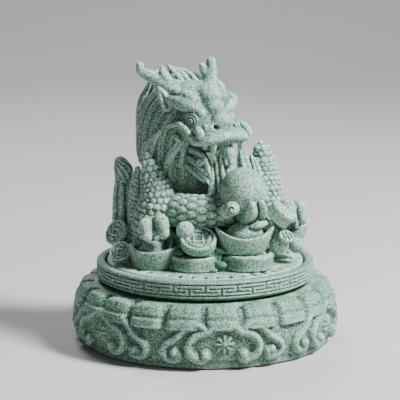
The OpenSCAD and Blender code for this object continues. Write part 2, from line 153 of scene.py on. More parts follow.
class Clay:
    """A block of signed distances that shapes are joined to or cut from."""

    def __init__(self, low, high, step=0.3):
        self.step = step
        self.low = np.floor(np.array(low, float) / step) * step
        count = np.ceil((np.array(high, float) - self.low) / step).astype(int) + 1
        self.axes = [(self.low[i] + step * np.arange(count[i])).astype(np.float32) for i in range(3)]
        self.d = np.full(count, FAR, np.float32)

    def window(self, low, high):
        """The part of the grid between two corners, and its coordinates."""
        cuts = []
        for i in range(3):
            a = max(0, int((low[i] - self.low[i]) / self.step))
            b = min(len(self.axes[i]), int((high[i] - self.low[i]) / self.step) + 2)
            if b <= a:
                return None
            cuts.append(slice(a, b))
        x, y, z = (self.axes[i][cuts[i]] for i in range(3))
        return tuple(cuts), x[:, None, None], y[None, :, None], z[None, None, :]

    def put(self, shape, low, high, blend=0.0, cut=False):
        """Joins a shape to the clay, or cuts it away, with a rounded seam of the width blend."""
        margin = blend + 3 * self.step
        found = self.window(np.array(low) - margin, np.array(high) + margin)
        if found is None:
            return
        cuts, x, y, z = found
        new = np.minimum(shape(x, y, z), FAR).astype(np.float32)
        self.join(cuts, new, blend, cut)

    def join(self, cuts, new, blend, cut):
        sign = -1 if cut else 1
        old = sign * self.d[cuts]
        mixed = np.minimum(old, new)
        if blend:
            near = np.maximum(blend - np.abs(old - new), 0) / blend
            mixed = mixed - near * near * blend / 4
        self.d[cuts] = sign * mixed

    def mesh(self):
        return self.axes[0][:, None, None], self.axes[1][None, :, None], self.axes[2][None, None, :]

    def shaped(self, shape, c, axes, reach):
        """A shape written in its own frame, at c with the columns of axes as its directions."""
        def placed(x, y, z):
            d = (x - c[0], y - c[1], z - c[2])
            return shape(*(sum(axes[j, i] * d[j] for j in range(3)) for i in range(3)))

        self.put(placed, c - reach, c + reach)

    def ball(self, c, r, blend=0.0, cut=False):
        c = np.array(c, float)
        self.put(lambda x, y, z: np.sqrt((x - c[0]) ** 2 + (y - c[1]) ** 2 + (z - c[2]) ** 2) - r,
                 c - r, c + r, blend, cut)

    def egg(self, c, radii, turn=np.eye(3), blend=0.0, cut=False):
        """An ellipsoid whose own axes are the columns of turn."""
        c, radii = np.array(c, float), np.array(radii, float)

        def shape(x, y, z):
            d = (x - c[0], y - c[1], z - c[2])
            local = [sum(turn[j, i] * d[j] for j in range(3)) for i in range(3)]
            near = np.sqrt(sum((v / r) ** 2 for v, r in zip(local, radii)))
            steep = np.sqrt(sum((v / r ** 2) ** 2 for v, r in zip(local, radii)))
            return near * (near - 1) / np.maximum(steep, 1e-6)

        r = radii.max()
        self.put(shape, c - r, c + r, blend, cut)

    def like(self, low, high):
        """Empty clay on the same lattice."""
        return Clay(np.maximum(low, self.low), high, self.step)

    def merge(self, other, blend=0.0, cut=False):
        a = np.rint((other.low - self.low) / self.step).astype(int)
        b = np.minimum(a + other.d.shape, self.d.shape)
        start = np.maximum(a, 0)
        if (b <= start).any():
            return
        mine = tuple(slice(s, e) for s, e in zip(start, b))
        theirs = tuple(slice(s - o, e - o) for s, e, o in zip(start, b, a))
        self.join(mine, other.d[theirs], blend, cut)

    def bar(self, points, radii, blend=0.0, cut=False, parts=5):
        """A round bar along a smooth curve, thick as the radii say."""
        if np.isscalar(radii):
            radii = [radii] * len(points)
        p, r = smooth_path(points, radii, parts)
        reach = r.max() + blend + 4 * self.step
        own = self.like(p.min(0) - reach, p.max(0) + reach)
        for a, b, ra, rb in zip(p[:-1], p[1:], r[:-1], r[1:]):
            run = b - a
            size = max(float(run @ run), 1e-9)

            def shape(x, y, z):
                t = ((x - a[0]) * run[0] + (y - a[1]) * run[1] + (z - a[2]) * run[2]) / size
                t = np.clip(t, 0, 1)
                gap = sum((v - a[i] - t * run[i]) ** 2 for i, v in enumerate((x, y, z)))
                return np.sqrt(gap) - (ra + (rb - ra) * t)

            big = max(ra, rb) + blend
            own.put(shape, np.minimum(a, b) - big, np.maximum(a, b) + big)
        self.merge(own, blend, cut)

    def disc(self, c, normal, r, thick, soft, blend=0.0):
        """A flat round disc with softened edges."""
        c, n = np.array(c, float), unit(normal)

        def shape(x, y, z):
            d = (x - c[0], y - c[1], z - c[2])
            along = d[0] * n[0] + d[1] * n[1] + d[2] * n[2]
            out = np.sqrt(np.maximum(d[0] ** 2 + d[1] ** 2 + d[2] ** 2 - along ** 2, 0))
            a, b = out - (r - soft), np.abs(along) - (thick / 2 - soft)
            return np.minimum(np.maximum(a, b), 0) + np.hypot(np.maximum(a, 0), np.maximum(b, 0)) - soft

        reach = math.hypot(r, thick / 2)
        self.put(shape, c - reach, c + reach, blend)

    def skin(self, points, radii, side, pattern, oval=1.0, parts=6):
        """A bar whose surface is raised by pattern(along mm, turn 0..1).

        side is any direction across the bar; turn 0 lies along side x run. oval narrows the
        bar along side."""
        p, r = smooth_path(points, radii, parts)
        x, y, z = self.mesh()
        best = np.full(self.d.shape, 1e3, np.float32)
        along = np.zeros_like(best)
        across = np.zeros_like(best)
        beside = np.zeros_like(best)
        walked = 0.0
        for a, b, ra, rb in zip(p[:-1], p[1:], r[:-1], r[1:]):
            run = b - a
            size = max(float(np.linalg.norm(run)), 1e-6)
            d = run / size
            u = unit(np.cross(side, d))
            v = np.cross(d, u)
            px, py, pz = x - a[0], y - a[1], z - a[2]
            t = np.clip(px * d[0] + py * d[1] + pz * d[2], 0, size)
            gx, gy, gz = px - t * d[0], py - t * d[1], pz - t * d[2]
            cu = gx * u[0] + gy * u[1] + gz * u[2]
            cv = (gx * v[0] + gy * v[1] + gz * v[2]) / oval
            cd = gx * d[0] + gy * d[1] + gz * d[2]
            gap = np.sqrt(cu * cu + cv * cv + cd * cd) - (ra + (rb - ra) * t / size)
            closer = gap < best
            best = np.where(closer, gap, best)
            along = np.where(closer, t + walked, along)
            across = np.where(closer, cu, across)
            beside = np.where(closer, cv, beside)
            walked += size
        turn = (np.arctan2(beside, across) / TAU) % 1.0
        self.d = np.clip(best - pattern(along, turn), -FAR, FAR).astype(np.float32)

    def press(self, low, high):
        """Keeps only what lies between two corners."""
        x, y, z = self.mesh()
        for i, v in enumerate((x, y, z)):
            self.d = np.maximum(self.d, np.maximum(low[i] - v, v - high[i]).astype(np.float32))


def clay_round(node, grow=2.0, step=0.3):
    low, high = box_mm(node)
    return Clay(low - grow, high + grow, step)


# ---- Surface patterns, in mm of height ----

def scale_rows(along, turn, count, pitch, rise):
    """Overlapping round scales: count of them round the bar, a row every pitch."""
    q, a = along / pitch, turn * count
    best = np.zeros_like(q)
    for k in (-1, 0, 1):
        row = np.floor(q) + k
        shift = 0.5 * (row % 2)
        da = (a - shift + 0.5) % 1.0 - 0.5
        ds = q - row - 0.5
        dome = np.sqrt(np.maximum(1 - (da / 0.56) ** 2 - (ds / 0.8) ** 2, 0))
        best = np.maximum(best, dome * (0.8 + 0.35 * ds))
    return rise * best


def studded(clay, points, radii, widest):
    """A bar covered with round scales, in staggered rows that grow finer where it is thin.

    widest is about how wide a scale may be. A row's pitch, and a scale's radius and how deep it
    sits, are shares of a scale's way round the bar."""
    pitch, scale_r, sunk, seam = 0.84, 0.66, 0.3, 0.12
    clay.bar(points, radii)
    p, r = smooth_path(points, radii, 8)
    runs = np.diff(p, axis=0)
    walked = np.concatenate(([0], np.cumsum(np.linalg.norm(runs, axis=1))))
    row, s, count = 0, 0.8, 1
    while s < walked[-1]:
        c = np.array([np.interp(s, walked, p[:, k]) for k in range(3)])
        round_here = TAU * float(np.interp(s, walked, r))
        if not 0.62 * widest < round_here / count < 1.3 * widest:
            count = max(round(round_here / widest), 5)
        size = round_here / count
        d = unit(runs[np.searchsorted(walked, s) - 1])
        u = unit(np.cross((0, 1, 0), d))
        v = np.cross(d, u)
        for k in range(count):
            uneven = math.sin(12.9 * k + 78.2 * row)
            a = TAU * (k + 0.5 * (row % 2) + 0.08 * uneven) / count
            out = round_here / TAU - sunk * size
            place = c + out * (math.cos(a) * u + math.sin(a) * v)
            clay.ball(place, (scale_r + 0.05 * uneven) * size, seam)
        s += pitch * size
        row += 1


def ridges(turn, count, depth):
    """Rounded ridges that run along a bar, with sharp valleys between them."""
    return -depth * (1 - np.abs(np.sin(math.pi * count * turn)))


# ---- From clay to Blender meshes ----

def make_mesh(name, points, faces, relief):
    """points in mm; relief is 0 in a hollow, 0.5 on the flat and 1 on an edge, and sets where the stone
    gets painted shade and painted highlights.
    """
    mesh = bpy.data.meshes.new(name)
    mesh.vertices.add(len(points))
    mesh.vertices.foreach_set("co", (points * MM).astype(np.float32).ravel())
    mesh.loops.add(faces.size)
    mesh.loops.foreach_set("vertex_index", faces.astype(np.int32).ravel())
    mesh.polygons.add(len(faces))
    mesh.polygons.foreach_set("loop_start", np.arange(0, faces.size, faces.shape[1], dtype=np.int32))
    mesh.polygons.foreach_set("use_smooth", np.ones(len(faces), bool))
    mesh.attributes.new("relief", "FLOAT", "POINT").data.foreach_set("value", relief.astype(np.float32))
    mesh.update(calc_edges=True)
    mesh.validate()
    piece = bpy.data.objects.new(name, mesh)
    bpy.context.scene.collection.objects.link(piece)
    return piece


def sample(field, cells):
    """Values of a grid at fractional cell positions."""
    base = np.clip(np.floor(cells).astype(int), 0, np.array(field.shape) - 2)
    f = cells - base
    total = 0
    for corner in np.ndindex(2, 2, 2):
        weight = np.prod(np.where(corner, f, 1 - f), axis=1)
        total = total + weight * field[tuple((base + corner).T)]
    return total


def relief_at(clay, cells):
    """How proud or sunken the surface is against its surroundings, near and wide; the stone paints shade
    into the sunken places and a highlight onto the proud ones.
    """
    near = sample(blur(blur(clay.d, 2), 2), cells) / (clay.step * 1.6)
    wide = sample(blur(blur(clay.d, 5), 4), cells) / (clay.step * 7)
    near_share, wide_share = 0.7, 0.85
    return np.clip(0.5 + near_share * near + wide_share * wide, 0, 1)


def dress(piece, body, node, material):
    """Gives a piece its material, and lets it stand for a CAD node and ride on a body."""
    piece.data.materials.append(material)
    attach(piece, body)
    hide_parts(node)


def cast(clay, name, node, material):
    """Meshes the clay into a piece of the figure that stands for the node."""
    edge = clay.d.copy()
    for axis in range(3):
        for end in (0, -1):
            edge[tuple(end if i == axis else slice(None) for i in range(3))] = FAR
    clay.d = edge
    grid = openvdb.FloatGrid(FAR)
    grid.copyFromArray(edge)
    points, quads = grid.convertToQuads(isovalue=0.0)
    piece = make_mesh(name, points * clay.step + clay.low, quads[:, ::-1], relief_at(clay, points))
    dress(piece, "figure", node, material)


# ---- Materials ----

def node_maker(tree):
    def make(kind, **values):
        node = tree.nodes.new(kind)
        for key, value in values.items():
            if key in node.inputs:
                node.inputs[key].default_value = value
            else:
                setattr(node, key, value)
        return node
    return make


def stone(name, light, mid, dark, speck, white, grain_size=0.52):
    """Cast stone powder: fine light and dark grains, hollows darkened partly by dust and partly as painted
    shade, and painted highlights on the edges.
    """
    material = bpy.data.materials.new(name)
    material.use_nodes = True
    tree = material.node_tree
    tree.nodes.clear()
    make, link = node_maker(tree), tree.links.new
    place = make("ShaderNodeTexCoord").outputs["Object"]
    relief = make("ShaderNodeAttribute", attribute_name="relief").outputs["Fac"]

    def noise(size_mm, detail, rough=0.5):
        node = make("ShaderNodeTexNoise", Scale=1 / (size_mm * MM), Detail=detail, Roughness=rough)
        link(place, node.inputs["Vector"])
        return node.outputs["Fac"]

    def ramp(source, *stops):
        node = make("ShaderNodeValToRGB")
        link(source, node.inputs["Fac"])
        marks = node.color_ramp.elements
        while len(marks) < len(stops):
            marks.new(0.5)
        for mark, (at, value) in zip(marks, stops):
            mark.position = at
            mark.color = value if isinstance(value, tuple) else (value, value, value, 1)
        return node.outputs["Color"]

    def mix(amount, below, above):
        node = make("ShaderNodeMix", data_type="RGBA")
        for source, target in ((amount, node.inputs[0]), (below, node.inputs[6]), (above, node.inputs[7])):
            if isinstance(source, tuple):
                target.default_value = source
            else:
                link(source, target)
        return node.outputs[2]

    # hollows get painted shade mixed with some dust and edges a painted highlight, with large patches
    # where that fades
    tone = ramp(relief, (0.15, dark), (0.39, mid), (0.54, light), (0.84, white))
    patchy = mix(ramp(noise(9, 3), (0.35, 0.0), (0.75, 0.4)), tone, mid)
    # then dark grains, and light ones over them
    dark_grain = ramp(noise(grain_size, 2, 0.75), (0.42, 0.95), (0.57, 0.0))
    grained = mix(dark_grain, patchy, speck)
    light_grain = ramp(noise(grain_size * 0.85, 2, 0.75), (0.50, 0.0), (0.64, 0.7))
    finished = mix(light_grain, grained, white)

    shader = make("ShaderNodeBsdfPrincipled", Roughness=0.62)
    shader.inputs["Specular IOR Level"].default_value = 0.35
    shader.inputs["Subsurface Weight"].default_value = 0.08
    shader.inputs["Subsurface Radius"].default_value = (0.6, 1.0, 0.7)
    shader.inputs["Subsurface Scale"].default_value = 1.2 * MM
    link(finished, shader.inputs["Base Color"])
    bump = make("ShaderNodeBump", Strength=0.35, Distance=0.12 * MM)
    link(noise(grain_size * 0.7, 2, 0.7), bump.inputs["Height"])
    link(bump.outputs["Normal"], shader.inputs["Normal"])
    link(shader.outputs["BSDF"], make("ShaderNodeOutputMaterial").inputs["Surface"])
    return material


def fitting(name, color, metallic, rough, mark_size, stretch=(1, 1, 1)):
    """Metal, felt or resin of the hidden fittings: a little uneven in colour, with fine marks."""
    material = bpy.data.materials.new(name)
    material.use_nodes = True
    tree = material.node_tree
    make, link = node_maker(tree), tree.links.new
    shader = tree.nodes["Principled BSDF"]
    shader.inputs["Metallic"].default_value = metallic
    shader.inputs["Roughness"].default_value = rough
    place = make("ShaderNodeMapping", Scale=stretch)
    link(make("ShaderNodeTexCoord").outputs["Object"], place.inputs["Vector"])
    marks = make("ShaderNodeTexNoise", Scale=1 / (mark_size * MM), Detail=4, Roughness=0.6)
    link(place.outputs["Vector"], marks.inputs["Vector"])
    tint = make("ShaderNodeValToRGB")
    tint.color_ramp.elements[0].color = tuple(0.75 * c for c in color) + (1,)
    tint.color_ramp.elements[1].color = tuple(min(1.0, 1.1 * c) for c in color) + (1,)
    link(marks.outputs["Fac"], tint.inputs["Fac"])
    link(tint.outputs["Color"], shader.inputs["Base Color"])
    bump = make("ShaderNodeBump", Strength=0.3, Distance=0.05 * MM)
    link(marks.outputs["Fac"], bump.inputs["Height"])
    link(bump.outputs["Normal"], shader.inputs["Normal"])
    return material


# Tones of the jade: DEEP and MOSS paint shade into deep and shallow hollows, PALE is the flat stone, SPECK
# the dark grains, and the whitest tone is both the light grains and a painted highlight on edges
WHITE_GRAIN_AND_HIGHLIGHT = (0.48, 0.665, 0.575, 1)
PALE = (0.117, 0.235, 0.172, 1)
MOSS = (0.037, 0.105, 0.069, 1)
DEEP = (0.012, 0.042, 0.026, 1)
SPECK = (0.023, 0.092, 0.056, 1)
jade = stone("jade_stone", PALE, MOSS, DEEP, SPECK, WHITE_GRAIN_AND_HIGHLIGHT)
# a copy of the jade whose edges pale only to the flat green, not to white, so the heap gets a weaker
# painted highlight
jade_dark = stone("jade_stone_deep", (0.12, 0.23, 0.17, 1), (0.045, 0.11, 0.075, 1), DEEP, SPECK, PALE)

FITTINGS = {
    fitting("ground_steel", (0.60, 0.61, 0.63), 1.0, 0.28, 0.8, (1, 1, 6)):
        ("lower_race", "upper_race", "bearing_balls", "spindle", "retaining_clip"),
    fitting("turned_brass", (0.72, 0.53, 0.24), 1.0, 0.34, 0.9, (1, 1, 5)):
        ("spindle_bush", "ball_cage", "thrust_washer"),
    fitting("pressed_felt", (0.045, 0.06, 0.052), 0.0, 0.95, 0.5): ("underside_pad",),
    fitting("scented_resin", (0.78, 0.73, 0.60), 0.0, 0.7, 1.2): ("fragrance_tablet",),
}
for material, nodes in FITTINGS.items():
    for node in nodes:
        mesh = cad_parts[node].data
        mesh.materials.clear()
        mesh.materials.append(material)


# ---- Turned pieces: a closed outline swept round the axis, raised by a pattern ----

def line(start, end, spacing):
    """Points from start up to, but not including, end."""
    start, end = np.array(start, float), np.array(end, float)
    n = max(1, int(math.ceil(np.linalg.norm(end - start) / spacing)))
    return start + (end - start) * (np.arange(n) / n)[:, None]


def outline(corners, spacing):
    """A closed outline through (radius, z) corners. spacing holds one value per side."""
    return np.vstack([line(a, b, s) for a, b, s in zip(corners, corners[1:] + corners[:1], spacing)])


def turned(name, body, node, profile, columns, raise_by, shade):
    """profile is (radius, z) rows going up the outside; raise_by gives mm along the outline's normal.

    shade is how strongly a hollow darkens and an edge pales."""
    ahead, behind = np.roll(profile, -1, axis=0), np.roll(profile, 1, axis=0)
    run = ahead - behind
    run /= np.maximum(np.linalg.norm(run, axis=1), 1e-9)[:, None]
    normal = np.column_stack((run[:, 1], -run[:, 0]))
    angle = TAU * np.arange(columns) / columns
    height = raise_by(angle[:, None], profile[None, :, 0], profile[None, :, 1])
    height = np.broadcast_to(height, (columns, len(profile)))
    radius = profile[None, :, 0] + normal[None, :, 0] * height
    z = profile[None, :, 1] + normal[None, :, 1] * height
    points = np.stack((radius * np.sin(angle)[:, None], -radius * np.cos(angle)[:, None], z), axis=2)
    i, j = np.meshgrid(np.arange(columns), np.arange(len(profile)), indexing="ij")
    i2, j2 = (i + 1) % columns, (j + 1) % len(profile)
    at = i * len(profile) + j, i2 * len(profile) + j, i2 * len(profile) + j2, i * len(profile) + j2
    faces = np.stack([a.ravel() for a in at], axis=1)
    smooth = height.copy()
    for _ in range(6):
        smooth = (smooth + np.roll(smooth, 2, 0) + np.roll(smooth, -2, 0)
                  + np.roll(smooth, 2, 1) + np.roll(smooth, -2, 1)) / 5
    # painted shade where the pattern sinks below its smoothed self, painted highlight where it stands
    # proud
    relief = np.clip(0.5 + shade * (height - smooth), 0, 1)
    piece = make_mesh(name, points.reshape(-1, 3), faces, relief.ravel())
    dress(piece, body, node, jade)


def far_from(path, x, z):
    """Distance from (x, z) to a polyline, and how far along it the nearest point is, 0..1."""
    p, _ = smooth_path([(a, b, 0) for a, b in path], [1] * len(path), 4)
    p = p[:, :2]
    best, where = np.full(np.broadcast(x, z).shape, 1e3), np.zeros(np.broadcast(x, z).shape)
    for k, (a, b) in enumerate(zip(p[:-1], p[1:])):
        run = b - a
        t = np.clip(((x - a[0]) * run[0] + (z - a[1]) * run[1]) / max(run @ run, 1e-9), 0, 1)
        gap = np.hypot(x - a[0] - t * run[0], z - a[1] - t * run[1])
        where = np.where(gap < best, (k + t) / (len(p) - 1), where)
        best = np.minimum(best, gap)
    return best, where


# ---- Plinth: lotus petals over six curled cloud heads ----

PLINTH_COLUMNS = 800     # mesh columns all the way round
PETALS = 21
PETAL_TURN = math.radians(-1.2)
CLOUDS = 6
CLOUD_TURN = math.radians(8)
CLOUD_RISE = 1.9
# Half of one cloud head, as (across, up) from its middle at the plinth's foot
ARCH = [(0, 14.9), (2.2, 14.3), (5.3, 12.2), (9.2, 10.7), (11.2, 7.8), (10.2, 4.6), (7.2, 3.2), (5.6, 4.4)]
ARM = [(5.2, 12.2), (8.4, 14.3), (12.0, 13.0), (15.4, 9.9), (18.4, 7.9), (19.3, 5.4), (17.4, 3.3),
       (14.8, 3.4), (14.2, 5.2)]


def tube(gap, width, rise):
    """A rounded ridge that runs out softly into the ground beside it."""
    inside = np.maximum(1 - (gap / (1.35 * width)) ** 2, 0)
    return rise * inside ** 0.9


def cloud_heads(angle, z, belly_r):
    """Height of the curled clouds on the plinth's wall."""
    pitch = TAU / CLOUDS
    across = np.abs((angle - CLOUD_TURN + pitch / 2) % pitch - pitch / 2) * belly_r
    height = np.zeros(np.broadcast(across, z).shape)
    for path, width, rise in ((ARCH, 1.3, 1.0), (ARM, 1.2, 0.9)):
        gap, where = far_from(path, across, z)
        height = np.maximum(height, tube(gap, width * (0.85 + 0.25 * where), rise * CLOUD_RISE))
    for x0, z0, r in ((6.0, 5.0, 1.5), (15.6, 5.6, 1.3)):
        height = np.maximum(height, tube(np.hypot(across - x0, z - z0), r, CLOUD_RISE * 1.15))
    # a small eight-petalled flower under each arch
    flower_z, petal_long, flower_rise = 8.4, 3.3, 0.95
    gap = np.hypot(across, z - flower_z)
    bearing = np.arctan2(z - flower_z, across)
    petal = petal_long * (0.42 + 0.58 * np.abs(np.cos(4 * bearing)) ** 0.6)
    veins = 0.65 + 0.35 * np.cos(8 * bearing)
    flower = flower_rise * np.sqrt(np.maximum(1 - (gap / petal) ** 4, 0)) * veins
    height = np.maximum(height, np.where(gap < petal, flower, 0))
    return np.maximum(height, tube(gap, 0.95, 1.3))


def make_plinth():
    low, high = box_mm("plinth")
    belly_r, foot_z, ledge_z = high[0], low[2], high[2]
    race_low, race_high = box_mm("lower_race")
    well_r = race_high[0] + 1.0
    well_z = race_low[2]
    bush_low, bush_high = box_mm("spindle_bush")
    bore_r = bush_high[0]
    pad_r, pad_top = box_mm("underside_pad")[1][0] + 0.2, box_mm("underside_pad")[1][2]
    petal_z, shoulder_z = foot_z + 11.8, ledge_z - 1.3
    ledge_in = box_mm("turntable_ring")[1][0] + 0.6

    def wall(z):
        return belly_r - 2.2 * ((z - 8) / 9.6) ** 2

    z = np.arange(foot_z, shoulder_z, 0.27)
    rounded = wall(z) - 1.3 * np.exp(-(z - foot_z) / 0.8)
    outer = np.column_stack((rounded, z))
    shoulder = [(wall(shoulder_z), shoulder_z), (wall(shoulder_z) - 0.5, ledge_z - 0.55),
                (wall(shoulder_z) - 1.4, ledge_z - 0.1), (wall(shoulder_z) - 2.2, ledge_z),
                (ledge_in - 0.2, ledge_z), (well_r, ledge_z), (well_r, well_z), (bore_r, well_z),
                (bore_r, bush_low[2]), (pad_r, pad_top), (pad_r, foot_z)]
    spacing = [0.27, 0.27, 0.27, 0.4, 1.5, 2.0, 4.0, 8.0, 8.0, 12.0, 0.8]
    rest = [line(a, b, s) for a, b, s in zip(shoulder, shoulder[1:] + [tuple(outer[0])], spacing)]
    profile = np.vstack([outer] + rest)

    def carve(angle, r, z):
        on_wall = (r > ledge_in) & (z > foot_z)
        petal_pitch = TAU / PETALS
        u = (((angle - PETAL_TURN) / petal_pitch) % 1.0) * 2 - 1
        bulge = np.maximum(1 - np.abs(u / 0.90) ** 4, 0) ** 0.5
        drop = np.clip((z - petal_z) / 0.5, 0, 1)
        waist = 0.3 * np.exp(-((z - petal_z - 3.6) / 0.5) ** 2)
        waist = waist - 0.35 * np.clip((petal_z + 3.3 - z) / 0.6, 0, 1)
        petals = drop * (2.4 * bulge - waist) - 2.3
        near_top = np.clip((z - shoulder_z + 0.9) / 0.5, 0, 1)
        scallop = 0.15 * np.abs(np.cos(7 * u)) * near_top * (np.abs(u) < 0.85)
        clouds = cloud_heads(angle, z, belly_r) - 1.4
        top_fade = np.clip((r - ledge_in) / 0.6, 0, 1)
        height = np.maximum(petals - scallop, clouds)
        foot = np.clip((z - foot_z) / 0.9, 0, 1)
        return np.where(on_wall, height * foot * top_fade, 0.0)

    turned("plinth_carved", "root", "plinth", profile, PLINTH_COLUMNS, carve, shade=0.5)


# ---- Turntable ring: interlocked T fret in the side band ----

FRET_REPEATS = 22
FRET_COLUMNS = 44        # mesh columns to one repeat


def make_ring():
    low, high = box_mm("turntable_ring")
    ring_r, foot_z, top_z = high[0], low[2], high[2]
    plate_low, plate_high = box_mm("pierced_plate")
    seat_r, seat_z = plate_high[0] + 0.8, plate_low[2]
    tablet_r = box_mm("fragrance_tablet")[1][0] + 0.3
    floor_z, bore_r = box_mm("fragrance_tablet")[0][2], 2.5
    round_r = 0.9
    arc = [(ring_r - round_r + round_r * math.cos(a), top_z - round_r + round_r * math.sin(a))
           for a in np.linspace(0, math.pi / 2, 7)[1:]]
    corners = [(bore_r, foot_z), (ring_r - 1.8, foot_z), (ring_r, foot_z + 1.1),
               (ring_r, top_z - round_r)] + arc
    corners += [(seat_r + 0.3, top_z), (seat_r, top_z - 0.3), (seat_r, seat_z), (tablet_r, seat_z),
                (tablet_r, floor_z), (bore_r, floor_z)]
    spacing = [8, 0.4, 0.115] + [0.3] * len(arc) + [0.5, 0.3, 0.8, 2, 1, 8, 2]
    profile = outline(corners, spacing)
    top_line, base_line = top_z - 1.2, foot_z + 1.75
    rows = np.linspace(base_line, top_line, 4)
    pitch = TAU / FRET_REPEATS
    half_groove = 0.5 * pitch * ring_r / FRET_COLUMNS * 2.1

    def carve(angle, r, z):
        across = ((angle + pitch / 2) % pitch - pitch / 2) * ring_r
        width = pitch * ring_r
        far = width / 2 - np.abs(across)
        # how far a place lies from each line of the fret: two borders, an inverted T and a T
        marks = [
            np.abs(z - rows[0]) + 0 * across,
            np.abs(z - rows[3]) + 0 * across,
            np.maximum(np.abs(across) - 0.36 * width, np.abs(z - rows[1])),
            np.maximum(np.abs(across), np.maximum(z - rows[3], rows[1] - z)),
            np.maximum(far - 0.36 * width, np.abs(z - rows[2])),
            np.maximum(far, np.maximum(z - rows[2], rows[0] - z)),
        ]
        groove = np.minimum.reduce(marks)
        on_band = (r > ring_r - 0.05) & (z > foot_z + 1.2) & (z < top_z - round_r)
        depth = 0.42 * np.clip((half_groove - groove) / 0.09 + 0.5, 0, 1)
        return np.where(on_band, -depth, 0.0)

    turned("turntable_ring_fret", "turntable", "turntable_ring", profile, FRET_REPEATS * FRET_COLUMNS,
           carve, shade=1.3)


# ---- Pierced plate: a ring of short slots, two in three of them with a hooked inner end ----

def make_plate():
    low, high = box_mm("pierced_plate")
    r, top, base = high[0], high[2], low[2]
    clay = Clay(low - 1.5, high + 1.5, 0.28)
    clay.disc((0, 0, (top + base) / 2), Z_AXIS, r, top - base, soft=0.5)
    slots = 46
    for i in range(slots):
        a = TAU * i / slots
        inner, outer = r - 3.9, r - 1.5
        bend = 0.35 * TAU / slots * (1 if i % 2 else -1)
        key = [(outer, a), (inner, a), (inner, a + bend)] if i % 3 else [(outer, a), (inner + 0.4, a)]
        for depth in (0.15, 0.85):
            run = [(q * math.sin(t), -q * math.cos(t), top - depth) for q, t in key]
            for start, end in zip(run[:-1], run[1:]):
                clay.bar([start, end], 0.55, cut=True, parts=2)
    cast(clay, "pierced_plate_carved", "pierced_plate", jade)


# ---- Treasure: coins, ingots, beads and the heap under them ----

def coin_face(p, q, r, marks):
    """How far the coin's face lies below its rim, at (p, q) from its middle."""
    out = np.hypot(p, q)
    depth = 0.5 * np.clip((0.84 * r - out) / 0.25, 0, 1)
    if marks == "lines":
        stripe = np.abs(((p / r + 1.0) * 1.9) % 1.0 - 0.5)
        return depth * np.clip((stripe - 0.16) / 0.12, 0, 1)
    size = np.maximum(np.abs(p), np.abs(q)) / r
    frame_ring = np.clip((0.08 - np.abs(size - 0.25)) * r / 0.2, 0, 1)
    bearing = np.arctan2(q, p)
    leaf = np.cos(4 * bearing) * 0.5 + 0.5
    band = np.clip((0.13 - np.abs(out / r - 0.60)) * r / 0.2, 0, 1) * np.clip((leaf - 0.35) * 3, 0, 1)
    corner = np.hypot(np.abs(p) - 0.36 * r, np.abs(q) - 0.36 * r) / r
    curl = np.clip((0.05 - np.abs(corner - 0.13)) * r / 0.15, 0, 1)
    return depth * (1 - 0.85 * np.maximum.reduce((frame_ring, band, curl)))


def add_coin(clay, c, r, thick, axes, marks="petals"):
    """A round coin with its middle at c, that faces along the last column of axes."""
    soft = min(0.55, thick * 0.25)

    def shape(p, q, h):
        side = np.hypot(p, q) - r
        flat = np.maximum(h - thick / 2 + coin_face(p, q, r, marks), -h - thick / 2)
        a, b = side + soft, flat + soft
        return np.minimum(np.maximum(a, b), 0) + np.hypot(np.maximum(a, 0), np.maximum(b, 0)) - soft

    clay.shaped(shape, c, axes, math.hypot(r, thick / 2))


# node: place in its box, radius, thickness, turn, lean, marks on the face
COINS = {
    "coin_front_upper": ((0.5, 0.518, 0.5), 5.6, 3.2, 0, 30, "petals"),
    "coin_front_lower": ((0.532, 1.154, 0.5), 8.0, 4.4, 0, 0, "petals"),
    "coin_front_slab": ((0.47, 0.552, 0.5), 8.0, 4.8, 0, 0, "petals"),
    "coin_left_upper": ((0.5, 0.5, 0.5), 4.2, 2.2, -48, 62, "petals"),
    "coin_left_lower": ((0.5, 0.5, 0.5), 3.5, 2.0, -25, 52, "petals"),
    "coin_right_tilted": ((0.5, 0.5, 0.5), 4.2, 4.4, 80, 42, "lines"),
    "coin_right_small": ((0.5, 0.5, 0.5), 2.4, 1.4, 30, 38, "lines"),
    "coin_back_left": ((0.5, 0.5, 0.5), 5.5, 3.0, -140, 55, "petals"),
    "coin_back_right": ((0.5, 0.5, 0.5), 5.5, 3.0, 140, 55, "petals"),
}


def make_coins():
    for node, (place, r, thick, turn, lean, marks) in COINS.items():
        axes = turn_z(turn) @ turn_x(lean)
        c = spot(node, *place)
        reach = math.hypot(r, thick / 2) + 1
        clay = Clay(c - reach, c + reach, 0.18)
        add_coin(clay, c, r, thick, axes, marks)
        cast(clay, node + "_struck", node, jade)


def add_ingot(clay, foot, length, width, height, yaw, foot_share, rim_share):
    """A boat-shaped ingot: raking walls, two upswept horns and a domed middle.

    foot_share is the foot's length over the rim's, and rim_share the height of the rim's low
    middle over the horns' height."""
    rim_z = rim_share * height

    def hull(x, y, z):
        rise = np.clip(z / height, 0, 1)
        a = length / 2 * (foot_share + (1 - foot_share) * rise ** 0.9)
        b = width / 2 * (foot_share + (1 - foot_share) * np.clip(z / rim_z, 0, 1) ** 0.7)
        side = (np.sqrt((x / a) ** 2 + (y / b) ** 2) - 1) * np.minimum(a, b)
        top = (z - rim_z - (height - rim_z) * np.clip(np.abs(x) / (0.48 * length), 0, 1) ** 2.2) * 0.8
        inner = (np.sqrt((x / (a - 1.7)) ** 2 + (y / (b - 1.2)) ** 2) - 1) * np.minimum(a, b)
        well = np.maximum(inner, -1.9 - top)
        return np.maximum(smooth_most((side, top, -z), 0.5), -well)

    axes = turn_z(yaw)
    clay.shaped(hull, foot, axes, np.array((length / 2, length / 2, height)) + 0.5)
    clay.egg(foot + np.array((0, 0, 0.58 * height)), (0.32 * length, 0.38 * width, 0.56 * height),
             axes, blend=0.4)


